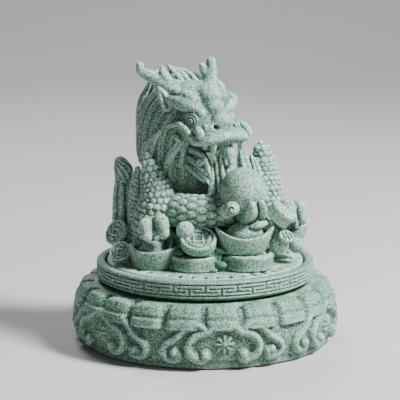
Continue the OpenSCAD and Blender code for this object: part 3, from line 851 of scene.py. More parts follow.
# node: place of the foot's middle in its box, length, width, height, yaw, foot_share, rim_share
INGOTS = {
    "ingot_front": ((0.5, 0.5, 0), 19.0, 13.0, 8.6, 6, 0.66, 0.64),
    "ingot_left": ((0.5, 0.51, 0), 15.8, 12.0, 7.2, -24, 0.82, 0.80),
    "ingot_right": ((0.5, 0.5, 0), 19.0, 11.4, 9.8, 6, 0.68, 0.62),
    "ingot_back": ((0.5, 0.5, 0), 19.0, 10.6, 8.6, 0, 0.66, 0.64),
}


def make_ingots():
    for node, (place, length, width, height, yaw, foot_share, rim_share) in INGOTS.items():
        foot = spot(node, *place)
        reach = np.array((length / 2, length / 2, 0))
        clay = Clay(foot - reach - 1.5, foot + reach + np.array((1.5, 1.5, height * 1.15 + 1)), 0.22)
        add_ingot(clay, foot, length, width, height, yaw, foot_share, rim_share)
        cast(clay, node + "_cast", node, jade)


BEADS = ((0.355, 0.058, 0.816), (0.859, 0.166, 0.447),
         (0.956, 0.245, 0.375), (0.049, 0.639, 0.191),
         (0.89, 0.652, 0.184), (0.247, 0.95, 0.171),
         (0.676, 0.95, 0.171))
BEAD_RADII = (2.8, 3.0, 2.6, 2.9, 2.8, 2.4, 2.4)


def make_beads():
    clay = clay_round("treasure_beads", 1.2, 0.25)
    for place, r in zip(BEADS, BEAD_RADII):
        clay.ball(spot("treasure_beads", *place), r)
    cast(clay, "treasure_beads_round", "treasure_beads", jade)


def make_mound():
    """The heap: a low dome with small coins, nuggets and pebbles set in it by a sunflower rule."""
    low, high = box_mm("treasure_mound")
    r, top, base = high[0], high[2], low[2]
    clay = Clay(low - 3, high + 3, 0.3)
    clay.egg((0, 0, base - 1), (r + 0.4, r + 0.4, top - base + 0.6))
    draw = np.random.default_rng(5)
    golden = math.pi * (3 - math.sqrt(5))
    for i in range(150):
        height = 0.03 + 0.9 * (i / 150) ** 1.1
        out = r * math.sqrt(1 - height ** 2)
        a = golden * i
        c = np.array((out * math.cos(a), out * math.sin(a), base + height * (top - base)))
        n = unit((c[0], c[1], (c[2] - base) * 2.2))
        if i % 3 == 0:
            tip = unit(n + draw.uniform(-0.5, 0.5, 3))
            size = draw.uniform(2.4, 3.2)
            p = unit(np.cross(n, (0.3, 0.1, 1.0)))
            add_coin(clay, c + 0.5 * n, size, 1.5, np.column_stack((p, np.cross(tip, p), tip)))
        elif i % 3 == 1:
            clay.ball(c + 0.2 * n, draw.uniform(1.2, 1.9), blend=0.4)
        else:
            radii = draw.uniform((1.8, 1.2, 0.9), (2.8, 1.9, 1.4))
            clay.egg(c + 0.3 * n, radii, turn_z(math.degrees(a) + 60), blend=0.4)
    clay.press((-r - 3, -r - 3, base + 0.02), (r + 3, r + 3, top + 3))
    cast(clay, "treasure_heap", "treasure_mound", jade_dark)


# ---- The dragon's body: scaled coil and haunches, tail, neck and hair ----

COIL_RADIUS = 15.2       # of the coil's centre line, as in the CAD


def coil_bed(clay):
    """The coil's bare ring, and how far along and round it every place lies."""
    low, high = box_mm("body_coil")
    c, tube_r = (low + high) / 2, (high[2] - low[2]) / 2
    ring = (high[1] - low[1]) / 2 - tube_r
    x, y, z = clay.mesh()
    out = np.hypot(x - c[0], y - c[1])
    along = (np.arctan2(y - c[1], x - c[0]) % TAU) * ring
    turn = (np.arctan2(z - c[2], out - ring) / TAU) % 1.0
    return np.hypot(out - ring, z - c[2]) - tube_r, along, turn


def make_coil():
    clay = clay_round("body_coil", 2.0, 0.25)
    gap, along, turn = coil_bed(clay)
    rows, scales_round, sunk = 40, 12, 0.35
    scales = scale_rows(along, turn, scales_round, TAU * COIL_RADIUS / rows, 1.0)
    clay.d = np.clip(gap + sunk - scales, -FAR, FAR).astype(np.float32)
    cast(clay, "body_coil_scaled", "body_coil", jade)


# node, path from foot to tip in its box, radii along it
HAUNCHES = (
    ("haunch_left", ((0.477, 0.527, 0.018), (0.507, 0.488, 0.263), (0.6, 0.472, 0.507),
                     (0.492, 0.535, 0.751), (0.384, 0.622, 0.925), (0.346, 0.645, 0.995)),
     (6.2, 6.3, 5.6, 3.9, 1.7, 0.6)),
    ("haunch_right", ((0.474, 0.45, 0.032), (0.504, 0.519, 0.254), (0.519, 0.588, 0.477),
                      (0.504, 0.63, 0.732), (0.466, 0.657, 0.923), (0.459, 0.657, 0.999)),
     (6.6, 6.6, 6.1, 4.7, 2.3, 0.9)),
)


def make_haunches():
    """Two cones of folded body, covered in round scales that grow towards the foot."""
    for node, points, radii in HAUNCHES:
        clay = clay_round(node, 1.8, 0.2)
        studded(clay, spots(node, points), np.maximum(np.array(radii) - 0.5, 0.4), 2.3)
        cast(clay, node + "_scaled", node, jade)


def make_side_fold():
    clay = clay_round("side_fold", 1.5, 0.22)
    path = ((0.505, 0.5, 0), (0.505, 0.5, 0.362), (0.619, 0.5, 0.724), (0.78, 0.5, 0.969))
    clay.skin(spots("side_fold", path), (2.3, 2.2, 1.9, 0.9), (0, 1, 0),
              lambda along, turn: 0.07 * np.cos(TAU * (along / 1.4 + 3 * turn)))
    cast(clay, "side_fold_lined", "side_fold", jade)


def make_tail():
    """The tail's end: a ribbed stem under a flared tuft, combed to one side."""
    clay = clay_round("tail_tuft", 1.8, 0.22)
    stem = ((0.5, 0.552, 0.003), (0.5, 0.522, 0.254), (0.5, 0.492, 0.52), (0.54, 0.462, 0.74))
    clay.skin(spots("tail_tuft", stem), (3.1, 3.4, 3.1, 2.5), (0, 1, 0),
              lambda along, turn: ridges(turn, 6, 1.0))
    cap = ((0.60, 0.462, 0.71), (0.60, 0.447, 0.82), (0.44, 0.43, 0.925))
    tuft = clay.like(*box_around(spots("tail_tuft", cap), 4.5))
    tuft.skin(spots("tail_tuft", cap), (2.4, 3.1, 1.9), (0, 1, 0),
              lambda along, turn: ridges(turn + 0.05 * along, 9, 0.6))
    clay.merge(tuft, 0.4)
    cast(clay, "tail_tuft_ribbed", "tail_tuft", jade)


NECK = ((0.702, 0.5, -0.01), (0.638, 0.5, 0.173), (0.51, 0.5, 0.334), (0.418, 0.5, 0.495),
        (0.411, 0.5, 0.679), (0.453, 0.5, 0.80), (0.496, 0.483, 0.87))
NECK_RADII = (8.6, 9.2, 10.6, 11.8, 11.6, 10.0, 6.4)


def neck_place(s, turn, proud=0.0):
    """A place on the neck: s runs from foot to head, turn goes once round, proud is mm outward."""
    p, r = smooth_path(spots("neck", NECK), NECK_RADII)
    k = min(s, 0.999) * (len(p) - 1)
    i, f = int(k), k - int(k)
    d = unit(p[i + 1] - p[i])
    u = unit(np.cross((0, 1, 0), d))
    v = np.cross(d, u)
    a = TAU * turn
    out = r[i] * (1 - f) + r[i + 1] * f + proud
    return p[i] * (1 - f) + p[i + 1] * f + out * (math.cos(a) * u + math.sin(a) * v)


def lock(clay, points, r, strands, blend):
    """A lock of hair: strands side by side along one curve, drawn together at both ends."""
    tip = 0.35
    p = np.array(points, float)
    run = np.gradient(p, axis=0)
    outward = p - middle("neck") * np.array((1, 1, 0)) - p * np.array((0, 0, 1))
    across = np.array([unit(np.cross(a, b)) for a, b in zip(run, outward)])
    walked = np.linspace(0, 1, len(p))
    fade = np.minimum(0.3 + 3 * walked, 1 - (1 - tip) * walked)
    for k in range(strands):
        offset = (k - (strands - 1) / 2) * r * 1.25
        radii = r * (0.95 if k % 2 else 0.8) * fade
        clay.bar(p + across * (offset * fade)[:, None], radii, blend)


def combed(along, turn):
    """Wavy hair, combed down and to the left: wide locks, each with finer strands in it."""
    sway = turn - 0.006 * along + 0.010 * np.sin(0.38 * along + 2 * TAU * turn)
    return ridges(sway, 18, 0.5) + ridges(sway + 0.004, 54, 0.22)


def make_neck():
    clay = clay_round("neck", 2.5, 0.26)
    back = 0.22

    def pattern(along, turn):
        scaly = np.clip((0.26 - np.abs((turn - back + 0.5) % 1.0 - 0.5)) / 0.05, 0, 1)
        hairy = (1 - scaly) * np.clip((along - 13) / 9, 0, 1)
        scales = scale_rows(along, turn, 22, 2.9, 0.9)
        return 0.3 + scaly * (scales - 0.3) + hairy * combed(along, turn)

    clay.skin(spots("neck", NECK), np.array(NECK_RADII) - 0.5, (0, 1, 0), pattern, parts=12)
    # a few heavier locks lie over the combed hair, in slow waves
    for i in range(8):
        start, high_s, low_s = 0.90 - 0.05 * i, (0.58, 0.66, 0.62)[i % 3], (0.36, 0.42, 0.30)[i % 3]
        points = [neck_place(s, start - 0.42 * (high_s - s) + 0.012 * math.sin(14 * s + 2.1 * i), -0.3)
                  for s in np.linspace(high_s, low_s, 10)]
        lock(clay, points, 0.6, 3, 0.6)
    cast(clay, "neck_haired", "neck", jade)


def make_mane():
    """Hair down the left of the neck: long locks with flicked ends, combed over a core."""
    core = ((0.721, 0.403, 0.945), (0.57, 0.441, 0.74), (0.50, 0.461, 0.496), (0.48, 0.441, 0.242),
            (0.667, 0.441, 0.031))
    core = np.array(spots("neck_mane", core))
    radii = np.array((2.9, 4.6, 5.2, 4.8, 3.0))

    def pattern(along, turn):
        sway = turn + 0.02 * np.sin(0.35 * along + 2 * TAU * turn)
        return ridges(sway, 12, 1.0) + ridges(sway, 36, 0.35)

    clay = clay_round("neck_mane", 2.5, 0.25)
    clay.skin(core, radii - 0.2, (0, 1, 0), pattern)
    p, r = smooth_path(core, radii, 3)
    for i in range(7):
        bearings = [TAU * (0.02 + i / 7) + 0.16 * math.sin(0.8 * k + 1.7 * i) for k in range(len(p))]
        round_about = [np.array((math.cos(a), math.sin(a), 0)) for a in bearings]
        first, last = (1, len(p)) if i % 2 else (2, len(p) - 2)
        path = [c + (rr - 0.3) * d for c, rr, d in zip(p, r, round_about)][first:last]
        path[-1] = path[-1] + 1.4 * round_about[-1] + np.array((0, 0, 1.0))
        fade = np.linspace(0, 1, len(path))
        clay.bar(path, np.minimum(0.4 + 3 * fade, 1.1 - 0.6 * fade), 0.4)
    cast(clay, "neck_mane_locks", "neck_mane", jade)


def make_crest():
    """Hair swept up and back from the brow in a fan of strands, their tips standing clear."""
    clay = clay_round("crest", 2.5, 0.22)
    for place, r in (((-1.4, -7.7, 0.6), 2.6), ((2.1, -5.3, -0.4), 2.6), ((4.1, -2.0, -1.9), 2.3),
                     ((4.7, -8.9, -4.0), 4.0), ((0.5, -10.5, -3.5), 4.0)):
        clay.ball(at(*place), r, 2.5)
    for strand in (((-5.2, -2.5, -0.6), (-4.3, -6.6, 0.8), (-3.3, -10.4, 2.4), (-3.0, -12.0, 3.0)),
                   ((-2.6, -1.6, 0.1), (-1.8, -4.9, 1.4), (-1.3, -9.5, 3.3), (-1.8, -11.4, 5.1)),
                   ((-0.7, -0.5, 0.5), (0.2, -6.0, 2.3), (0.2, -9.7, 3.5), (-0.3, -11.6, 4.4)),
                   ((1.5, 0.5, 0.6), (2.1, -4.6, 2.2), (2.0, -9.6, 3.3), (1.5, -11.8, 3.6)),
                   ((3.5, 0.8, -0.1), (4.5, -2.9, 1.0), (3.7, -6.6, 2.2), (3.0, -10.1, 2.7))):
        clay.bar(route(*strand), (0.7, 1.15, 1.1, 0.55), 0.2)
        # the root of each strand ends in a small bead along the hairline
        x, f, z = strand[0]
        clay.ball(at(x + 0.2, f + 0.9, z - 0.1), 0.95, 0.2)
    # the fan carries on down the back of the head
    for i in range(7):
        side = 1.9 * (i - 3)
        strand = ((0.8 + 0.5 * side, -9.6, 2.4 - 0.03 * side * side), (0.8 + side, -12.2, -0.6),
                  (0.8 + 1.3 * side, -12.6, -4.4), (0.8 + 1.1 * side, -13.4, -7.6))
        clay.bar(route(*strand), (0.9, 1.3, 1.2, 0.5), 0.3)
    cast(clay, "crest_strands", "crest", jade)


def make_fins():
    low, high = box_mm("dorsal_fins")
    clay = clay_round("dorsal_fins", 1.8, 0.22)
    pitch, x = (high[2] - low[2]) * 0.24, (low[0] + high[0]) / 2
    for i in range(4):
        top = high[2] - pitch * i
        root, tip = np.array((x, low[1], top - 7)), np.array((x, high[1], top))
        for shift, size in ((0, 1.0), (-2.4, 0.75)):
            base = root + np.array((0, 0.3, shift))
            end = tip + np.array((0, 0.2 * shift, 1.3 * shift))
            bow = (base + end) / 2 + np.array((0, 1.4, -0.8))
            clay.bar([base, bow, end], np.array((2.3, 1.5, 0.45)) * size, 0.4)
    cast(clay, "dorsal_fins_flamed", "dorsal_fins", jade)


# ---- The head, in its own frame: x to its left (right in the photograph), f forward, z up ----
# Left and right in names are as in the photograph.

HEAD_TURN = 35
HEAD_AXES = turn_z(HEAD_TURN)
HEAD_ORIGIN = spot("head", 0.366, 0.651, 0.891)


def at(x, f, z):
    return HEAD_ORIGIN + HEAD_AXES @ np.array((x, -f, z))


def route(*places):
    return [at(*p) for p in places]


def head_egg(clay, place, radii, blend=0.0, cut=False):
    clay.egg(at(*place), radii, HEAD_AXES, blend, cut)


def make_head():
    low, high = box_mm("head")
    clay = Clay(low - 2.2, high + np.array((2.2, 2.2, 4)), 0.2)
    masses = (((0, -2, -7.2), (9.0, 9.3, 8.6), 0), ((0, 6.0, -9.6), (7.9, 7.6, 6.8), 3.0),
              ((0, 10.6, -12.2), (8.7, 7.6, 4.3), 2.5), ((4.8, 5.4, -3.6), (3.8, 4.6, 3.6), 2.0),
              ((-5.6, 4.2, -3.6), (3.6, 5.4, 3.4), 2.0), ((-2.6, 3.0, -1.6), (3.4, 4.4, 2.6), 1.5),
              ((0.4, 7.6, -2.8), (4.2, 4.5, 4.0), 1.0), ((0.0, 11.2, -6.1), (3.3, 3.1, 3.2), 0.8))
    for place, radii, blend in masses:
        head_egg(clay, place, radii, blend)
    for s in (-1, 1):
        head_egg(clay, (s * 5.9, 3.2, -12.8), (3.5, 6.5, 4.4), 2.5)
        head_egg(clay, (s * 6.4, -2.5, -12.6), (3.7, 5.2, 5.2), 2.5)
    # snout: a ridge down to the ball of the nose, with flared nostrils
    clay.bar(route((0.8, 11.6, -7.8), (0.3, 14.0, -8.8), (0, 15.4, -9.8)), (2.7, 2.9, 3.1), 1.2)
    head_egg(clay, (0, 15.6, -10.0), (3.7, 2.9, 2.9), 0.6)
    for s in (-1, 1):
        clay.bar(route((s * 2.0, 16.0, -12.4), (s * 4.3, 14.8, -12.3), (s * 5.0, 13.6, -10.8),
                       (s * 3.8, 13.6, -9.2)), (0.9, 1.3, 1.2, 0.8), 0.7)
        clay.bar(route((s * 3.5, 17.8, -11.4), (s * 3.0, 14.6, -11.2)), (0.95, 0.6), 0.3, cut=True)
        # a fold from the wing of the nose back under the eye
        clay.bar(route((s * 5.0, 13.4, -10.2), (s * 6.6, 12.2, -11.6), (s * 7.8, 9.8, -12.4),
                       (s * 8.4, 6.6, -12.2)), (0.8, 0.9, 0.8, 0.5), 0.5)
        clay.bar(route((s * 6.0, 15.4, -12.6), (s * 6.1, 15.4, -10.9)), (0.8, 0.65), 0.4)
    # the lip, a thick roll along the edge of the muzzle
    clay.bar(route((-8.6, 12.4, -16.0), (-8.4, 14.9, -15.6), (-6.2, 17.2, -15.1), (-3.0, 18.3, -14.2),
                   (0.6, 18.6, -13.8), (4.2, 18.2, -14.2), (7.4, 16.8, -14.9), (9.5, 14.4, -15.5),
                   (9.7, 12.2, -15.4)), (1.0, 1.3, 1.5, 1.6, 1.6, 1.6, 1.55, 1.4, 1.0), 1.4)
    head_egg(clay, (0.4, 15.6, -13.4), (7.4, 3.2, 1.8), 1.4)
    # its left end curls up in a bean, its right end in a leaf that hugs the muzzle
    clay.bar(route((-8.0, 13.0, -12.6), (-8.7, 15.0, -11.9), (-8.9, 16.4, -12.8), (-8.5, 15.6, -14.2)),
             (0.9, 1.25, 1.4, 1.1), 0.3)
    clay.bar(route((7.8, 12.6, -10.8), (8.6, 15.2, -12.0), (9.2, 16.6, -13.8), (9.0, 15.8, -15.4)),
             (0.7, 1.2, 1.3, 1.1), 0.3)
    # the mouth runs back to a curled corner
    spiral = [(-9.7, 3.9 + (1.9 - 0.13 * k) * math.cos(a), -16.7 + (1.9 - 0.13 * k) * math.sin(a))
              for k, a in enumerate(np.linspace(0.4, 6.9, 11))]
    clay.bar(route(*spiral), np.linspace(0.85, 0.55, 11), 0.2)
    clay.ball(at(-10.1, 3.9, -16.7), 0.8, 0.3, cut=True)
    # brows: rolled folds that overhang the eyes, clubbed at the inner end
    clay.bar(route((-4.4, 10.9, -7.2), (-6.0, 9.2, -5.8), (-8.0, 6.6, -4.8), (-9.3, 2.9, -4.2),
                   (-9.9, 0.0, -3.6)), (1.5, 2.1, 2.3, 1.9, 1.2), 0.5)
    clay.ball(at(-4.6, 11.0, -7.5), 1.8, 0.4)
    clay.bar(route((4.4, 11.2, -7.0), (7.0, 9.8, -5.8), (8.9, 7.8, -4.8), (9.3, 4.2, -3.8),
                   (9.2, 0.2, -3.2)), (1.5, 1.9, 2.0, 1.9, 1.0), 0.8)
    head_egg(clay, (9.1, 7.9, -4.9), (1.9, 2.4, 2.4), 0.3)
    clay.bar([at(10.9 - 0.1 * abs(math.cos(a)), 7.9 + 1.35 * math.cos(a), -4.9 + 1.35 * math.sin(a))
              for a in np.linspace(0, TAU, 13)], 0.28, 0.3, cut=True)
    # two low swellings above the left brow, and a hollow behind its outer end
    head_egg(clay, (-6.4, 6.4, -2.3), (2.0, 2.2, 1.8), 0.1)
    head_egg(clay, (-7.6, 2.6, -1.7), (1.8, 2.2, 1.7), 0.1)
    head_egg(clay, (-11.0, -1.0, -7.0), (1.8, 2.6, 2.0), 1.6, cut=True)
    # sockets under the brows, and lids in concentric folds behind each eye
    for s in (-1, 1):
        clay.ball(at(s * 9.2, 9.4, -9.4), 2.9, 0.7, cut=True)
        for r, wide in ((2.6, 0.5), (3.7, 0.42), (4.8, 0.38), (5.9, 0.34)):
            arc = [at(s * (7.8 - 0.1 * r * (1 + math.cos(t)) - 0.3), 7.9 + r * math.cos(t),
                      -9.8 + 0.72 * r * math.sin(t)) for t in np.linspace(2.0, 4.5, 8)]
            clay.bar(arc, wide, 0.5)
        clay.bar(route((s * 7.2, 10.6, -11.4), (s * 7.9, 8.0, -12.2), (s * 8.2, 5.0, -11.4)),
                 (0.4, 0.6, 0.4), 0.5)
    # the open mouth, and a row of small teeth behind the lip
    head_egg(clay, (0.8, 11.5, -19.2), (6.0, 7.2, 3.6), 0.5, cut=True)
    for k in range(9):
        x = -2.8 + 1.1 * k
        f = 16.6 - 0.05 * (x - 1.5) ** 2
        clay.bar(route((x, f, -15.3), (x, f + 0.2, -16.9)), (0.68, 0.3), 0.0)
    cast(clay, "head_carved", "head", jade)


def make_eyes():
    """Round eyes with two incised rings and a drilled pupil."""
    clay = clay_round("eyes", 1.5, 0.14)
    for s in (-1, 1):
        look = HEAD_AXES @ unit((s * 0.92, -0.38, 0.0))
        c = at(s * 6.5, 9.4, -9.7)
        clay.ball(c, 2.2)
        clay.disc(c + 0.5 * look, look, 2.45, 1.8, 0.5, 0.3)
        tip = c + 2.0 * look
        across = unit(np.cross(look, Z_AXIS))
        for r, wide in ((1.05, 0.32), (1.9, 0.3)):
            hoop = [tip - 0.28 * r * look + r * (math.cos(t) * across + math.sin(t) * Z_AXIS)
                    for t in np.linspace(0, TAU, 17)]
            clay.bar(hoop, wide, 0.12, cut=True, parts=2)
        clay.ball(tip + 0.2 * look, 0.5, 0.1, cut=True)
    cast(clay, "eyes_ringed", "eyes", jade)


def make_mouth():
    """Lower jaw, tongue and corner teeth."""
    clay = clay_round("lower_jaw", 3, 0.22)
    head_egg(clay, (1.0, 6, -19.8), (4.2, 7.6, 2.8))
    clay.bar(route((-3.6, 5, -17.8), (-2.6, 10.6, -18.6), (-0.4, 13.4, -19.3), (2.8, 13.6, -19.4),
                   (5.0, 10.8, -18.8), (5.6, 5, -17.8)), 1.0, 0.4)
    cast(clay, "lower_jaw_lipped", "lower_jaw", jade)

    clay = clay_round("tongue", 3, 0.18)
    clay.bar(route((0.6, 7, -18.0), (1.6, 12.4, -17.7), (2.4, 15.2, -18.7), (2.6, 15.6, -20.6),
                   (2.2, 14.2, -22.4)), (1.8, 2.1, 2.1, 2.0, 1.6))
    clay.bar(route((0.6, 9.5, -15.6), (1.6, 13.6, -15.6), (2.6, 17.0, -17.4), (3.0, 18.0, -19.8)),
             (0.4, 0.5, 0.5, 0.4), 0.3, cut=True)
    cast(clay, "tongue_curled", "tongue", jade)

    clay = clay_round("fangs", 2, 0.16)
    for x, f, sweep in ((-4.2, 16.8, -1), (6.6, 16.0, 1)):
        clay.bar(route((x, f, -14.8), (x + 0.2 * sweep, f + 0.3, -16.8), (x, f, -18.6),
                       (x - 0.5 * sweep, f - 0.4, -19.7)), (1.4, 1.15, 0.75, 0.3))
        clay.bar(route((x + 1.9 * sweep, f - 1.2, -15.4), (x + 2.2 * sweep, f - 1.2, -17.6)),
                 (1.1, 0.6), 0.5)
    cast(clay, "fangs_hooked", "fangs", jade)


WAVE = ((7.2, 16.2, -16.0), (8.4, 14.4, -16.0), (9.3, 12.2, -14.6), (9.6, 10.6, -12.9),
        (9.8, 8.4, -11.6), (9.9, 5.3, -11.0), (10.1, 1.7, -12.0), (10.4, -1.4, -14.4),
        (10.5, -3.8, -16.0), (10.6, -8.0, -17.4))


def make_whiskers():
    """A whisker runs back from each lip end in one tall wave across the cheek."""
    for node, s in (("whisker_left", -1), ("whisker_right", 1)):
        wave = route(*((s * x, f, z) for x, f, z in WAVE))
        clay = Clay(*box_around(wave, 3), 0.2)
        clay.bar(wave, (0.8, 0.85, 0.9, 0.9, 0.95, 0.95, 0.95, 0.9, 0.8, 0.5))
        cast(clay, node + "_waved", node, jade)


def make_beard():
    """The chin's beard: a ribbed column that falls to the pearl, rolled at the top."""
    path = ((0.457, 0.592, 0.969), (0.551, 0.418, 0.548), (0.592, 0.343, 0.173), (0.592, 0.281, -0.165))
    clay = clay_round("beard", 2.5, 0.2)
    clay.skin(spots("beard", path), (3.3, 3.2, 3.0, 2.6), (1, 0, 0),
              lambda along, turn: ridges(turn + 0.01 * np.sin(along), 9, 0.75))
    top = spot("beard", *path[0])
    for k in range(4):
        roll = [top + np.array((-2.2 + 1.5 * k + 0.9 * math.cos(t), -2.0 - 0.5 * k + 0.3 * math.sin(t),
                                1.6 * math.sin(t))) for t in np.linspace(-0.6, 4.4, 8)]
        clay.bar(roll, np.linspace(0.75, 0.45, 8), 0.2)
    for side_x, drop in ((-4.6, 0), (-3.2, 0.8)):
        clay.bar(route((side_x, 14.0, -17.4 - drop), (side_x + 0.9, 13.8, -19.6 - drop),
                       (side_x + 2.9, 13.0, -22.6 - drop)), (0.9, 0.85, 0.5), 0.2)
    # a thin strand that swings away to the left of the column
    side = np.array(spots("beard", path))
    strand = side + np.array(((-2.6, -1.8, -2.0), (-3.4, -1.6, 0), (-4.6, -1.0, 0), (-6.2, 0.4, 1.0)))
    clay.bar(strand, (0.6, 0.8, 0.75, 0.4), 0.2)
    cast(clay, "beard_ribbed", "beard", jade)


# Strands of the beard that sweep forward under the jaw, and a curl at the mouth's corner
CURLS = (
    ((-5.0, 1.8, -19.5), (-5.0, 5.4, -19.5), (-5.0, 9.2, -19.8), (-5.0, 12.2, -20.6), (-4.6, 13.2, -22.4),
     (-3.8, 13.6, -24.4)),
    ((-5.0, -1.3, -21.2), (-5.2, 2.4, -21.5), (-5.2, 6.2, -22.2), (-5.2, 9.5, -23.3), (-4.8, 11.8, -24.8),
     (-3.8, 13.2, -26.6)),
    ((-5.2, -3.8, -23.5), (-5.4, -0.2, -23.7), (-5.4, 3.5, -24.5), (-5.4, 6.9, -25.7), (-5.0, 9.8, -27.2),
     (-4.0, 12.0, -29.0)),
    ((-4.0, 2.5, -20.4), (-4.2, 6.6, -20.9), (-4.2, 10.2, -21.8), (-4.0, 12.4, -23.2), (-3.6, 13.4, -25.2),
     (-3.2, 13.8, -27.0)),
    ((-4.6, -1.0, -22.6), (-4.6, 3.2, -23.2), (-4.6, 7.0, -24.2), (-4.4, 10.2, -25.6), (-4.0, 12.2, -27.4),
     (-3.4, 13.2, -29.4)),
    ((-7.0, -0.6, -17.4), (-7.0, 2.0, -17.6), (-7.0, 4.2, -18.6), (-7.0, 4.6, -20.2), (-7.0, 3.3, -21.6),
     (-7.0, 1.8, -21.0)),
)
# Ribbed leaves of hair in the jaw locks' box, each with its radii
LEAVES = (
    (((0.318, 0.479, 0.08), (0.304, 0.322, 0.459), (0.184, 0.385, 0.808), (0.103, 0.416, 0.99)),
     (2.0, 2.2, 1.5, 0.5)),
    (((0.773, 0.7, 0.005), (0.747, 0.7, 0.384), (0.639, 0.732, 0.687), (0.559, 0.732, 0.839)),
     (1.6, 1.9, 1.2, 0.4)),
)


def make_jaw_locks():
    low, high = box_mm("jaw_locks")
    ends = box_around([low, high] + [q for curl in CURLS for q in route(*curl)], 2.5)
    clay = Clay(*ends, 0.2)
    for path, radii in LEAVES:
        leaf = clay.like(*box_around(spots("jaw_locks", path), 3.5))
        leaf.skin(spots("jaw_locks", path), radii, (1, 0, 0),
                  lambda along, turn: ridges(turn + 0.12, 5, 0.45), oval=1.15)
        clay.merge(leaf, 0.3)
    for curl in CURLS:
        clay.bar(route(*curl), (0.6, 1.0, 1.1, 1.0, 0.8, 0.35), 0.15)
    clay.ball(at(-6.0, 12.4, -22.4), 1.3, 0.2)
    cast(clay, "jaw_locks_leafed", "jaw_locks", jade)


def make_horns():
    """Branched horns, thick at the root and mostly blunt at their ends."""
    left = (((-6.0, 0.4, -2.8), (-9.0, -2.0, 0.2), (-12.3, -4.7, 2.8), (-14.9, -6.8, 4.6),
             (-15.4, -7.1, 6.5)), (2.9, 2.2, 2.0, 1.55, 1.2))
    left_prong = (((-8.6, -1.8, 1.0), (-9.5, -2.6, 3.6), (-9.8, -3.1, 6.2)), (1.9, 1.5, 0.5))
    right = (((5.2, 1.2, -2.2), (6.2, 0.4, 0.4), (7.0, -0.2, 3.0), (7.4, -0.7, 5.4), (7.4, -0.9, 6.9)),
             (3.4, 2.6, 2.0, 1.6, 1.45))
    right_prong = (((6.2, 0.2, 1.4), (5.3, -1.2, 3.6), (5.0, -2.0, 5.2)), (1.7, 1.5, 1.25))
    for node, shapes in (("horn_left", (left, left_prong)), ("horn_right", (right, right_prong))):
        clay = Clay(*box_around(route(*(shapes[0][0] + shapes[1][0])), 4), 0.2)
        for path, radii in shapes:
            clay.bar(route(*path), radii, 0.5)
        cast(clay, node + "_branched", node, jade)


def make_ears():
    """Small pointed ears, each with a groove down its front."""
    for node, path in (("ear_left", ((-9.6, -0.2, -6.0), (-10.8, -1.2, -2.6), (-11.9, -3.2, 0.7))),
                       ("ear_right", ((9.2, 2.6, -4.6), (9.3, 1.2, -1.6), (8.9, 0.0, 1.2)))):
        p = route(*path)
        clay = Clay(*box_around(p, 4), 0.18)
        clay.bar(p, (2.1, 1.8, 0.4))
        front = np.array((-0.1, -1.5, 0.0))
        clay.bar([q + 1.25 * front for q in p], (0.5, 0.5, 0.1), 0.6, cut=True)
        cast(clay, node + "_pointed", node, jade)


def add_toe(clay, root, knuckle, tip, r, claw=None):
    """A toe with a swollen knuckle, and a claw that carries on from its tip."""
    root, knuckle, tip = (np.array(p, float) for p in (root, knuckle, tip))
    clay.bar([root, knuckle, tip], (r * 0.9, r * 1.1, r * 0.75), 0.5)
    if claw is not None:
        claw = np.array(claw, float)
        clay.bar([tip, (tip + claw) / 2, claw], (r * 0.68, r * 0.46, 0.3), 0.6)


def make_paws():
    """Forearms over the ingots; each ends in two stout toes with short claws."""
    for node, arm, arm_radii, toes in (
        ("paw_left", ((0.528, 1.379, 0.664), (0.46, 0.749, 0.708)), (3.2, 2.7),
         (((0.324, 0.772, 0.686), (0.188, 0.479, 0.73), (0.234, 0.277, 0.445), (0.415, 0.108, 0.029)),
          ((0.642, 0.727, 0.774), (0.732, 0.479, 0.862), (0.834, 0.254, 0.533), (0.88, 0.175, 0.182)))),
        ("paw_right", ((-0.116, 0.833, 0.645), (0.479, 0.626, 0.669)), (3.2, 2.8),
         (((0.399, 0.609, 0.716), (0.399, 0.367, 0.787), (0.499, 0.16, 0.48), (0.558, 0.117, 0.173)),
          ((0.677, 0.729, 0.645), (0.776, 0.54, 0.716), (0.855, 0.333, 0.362), (0.875, 0.281, 0.031)))),
    ):
        clay = clay_round(node, 2.2, 0.18)
        clay.bar(spots(node, arm), arm_radii, 0.6)
        for root, knuckle, tip, claw in toes:
            add_toe(clay, *spots(node, (root, knuckle, tip)), 2.15,
                    0.45 * spot(node, *tip) + 0.55 * spot(node, *claw))
        cast(clay, node + "_clawed", node, jade)


# The finished pearl is this much smaller all round than its CAD ball
PEARL_POLISH = 0.5


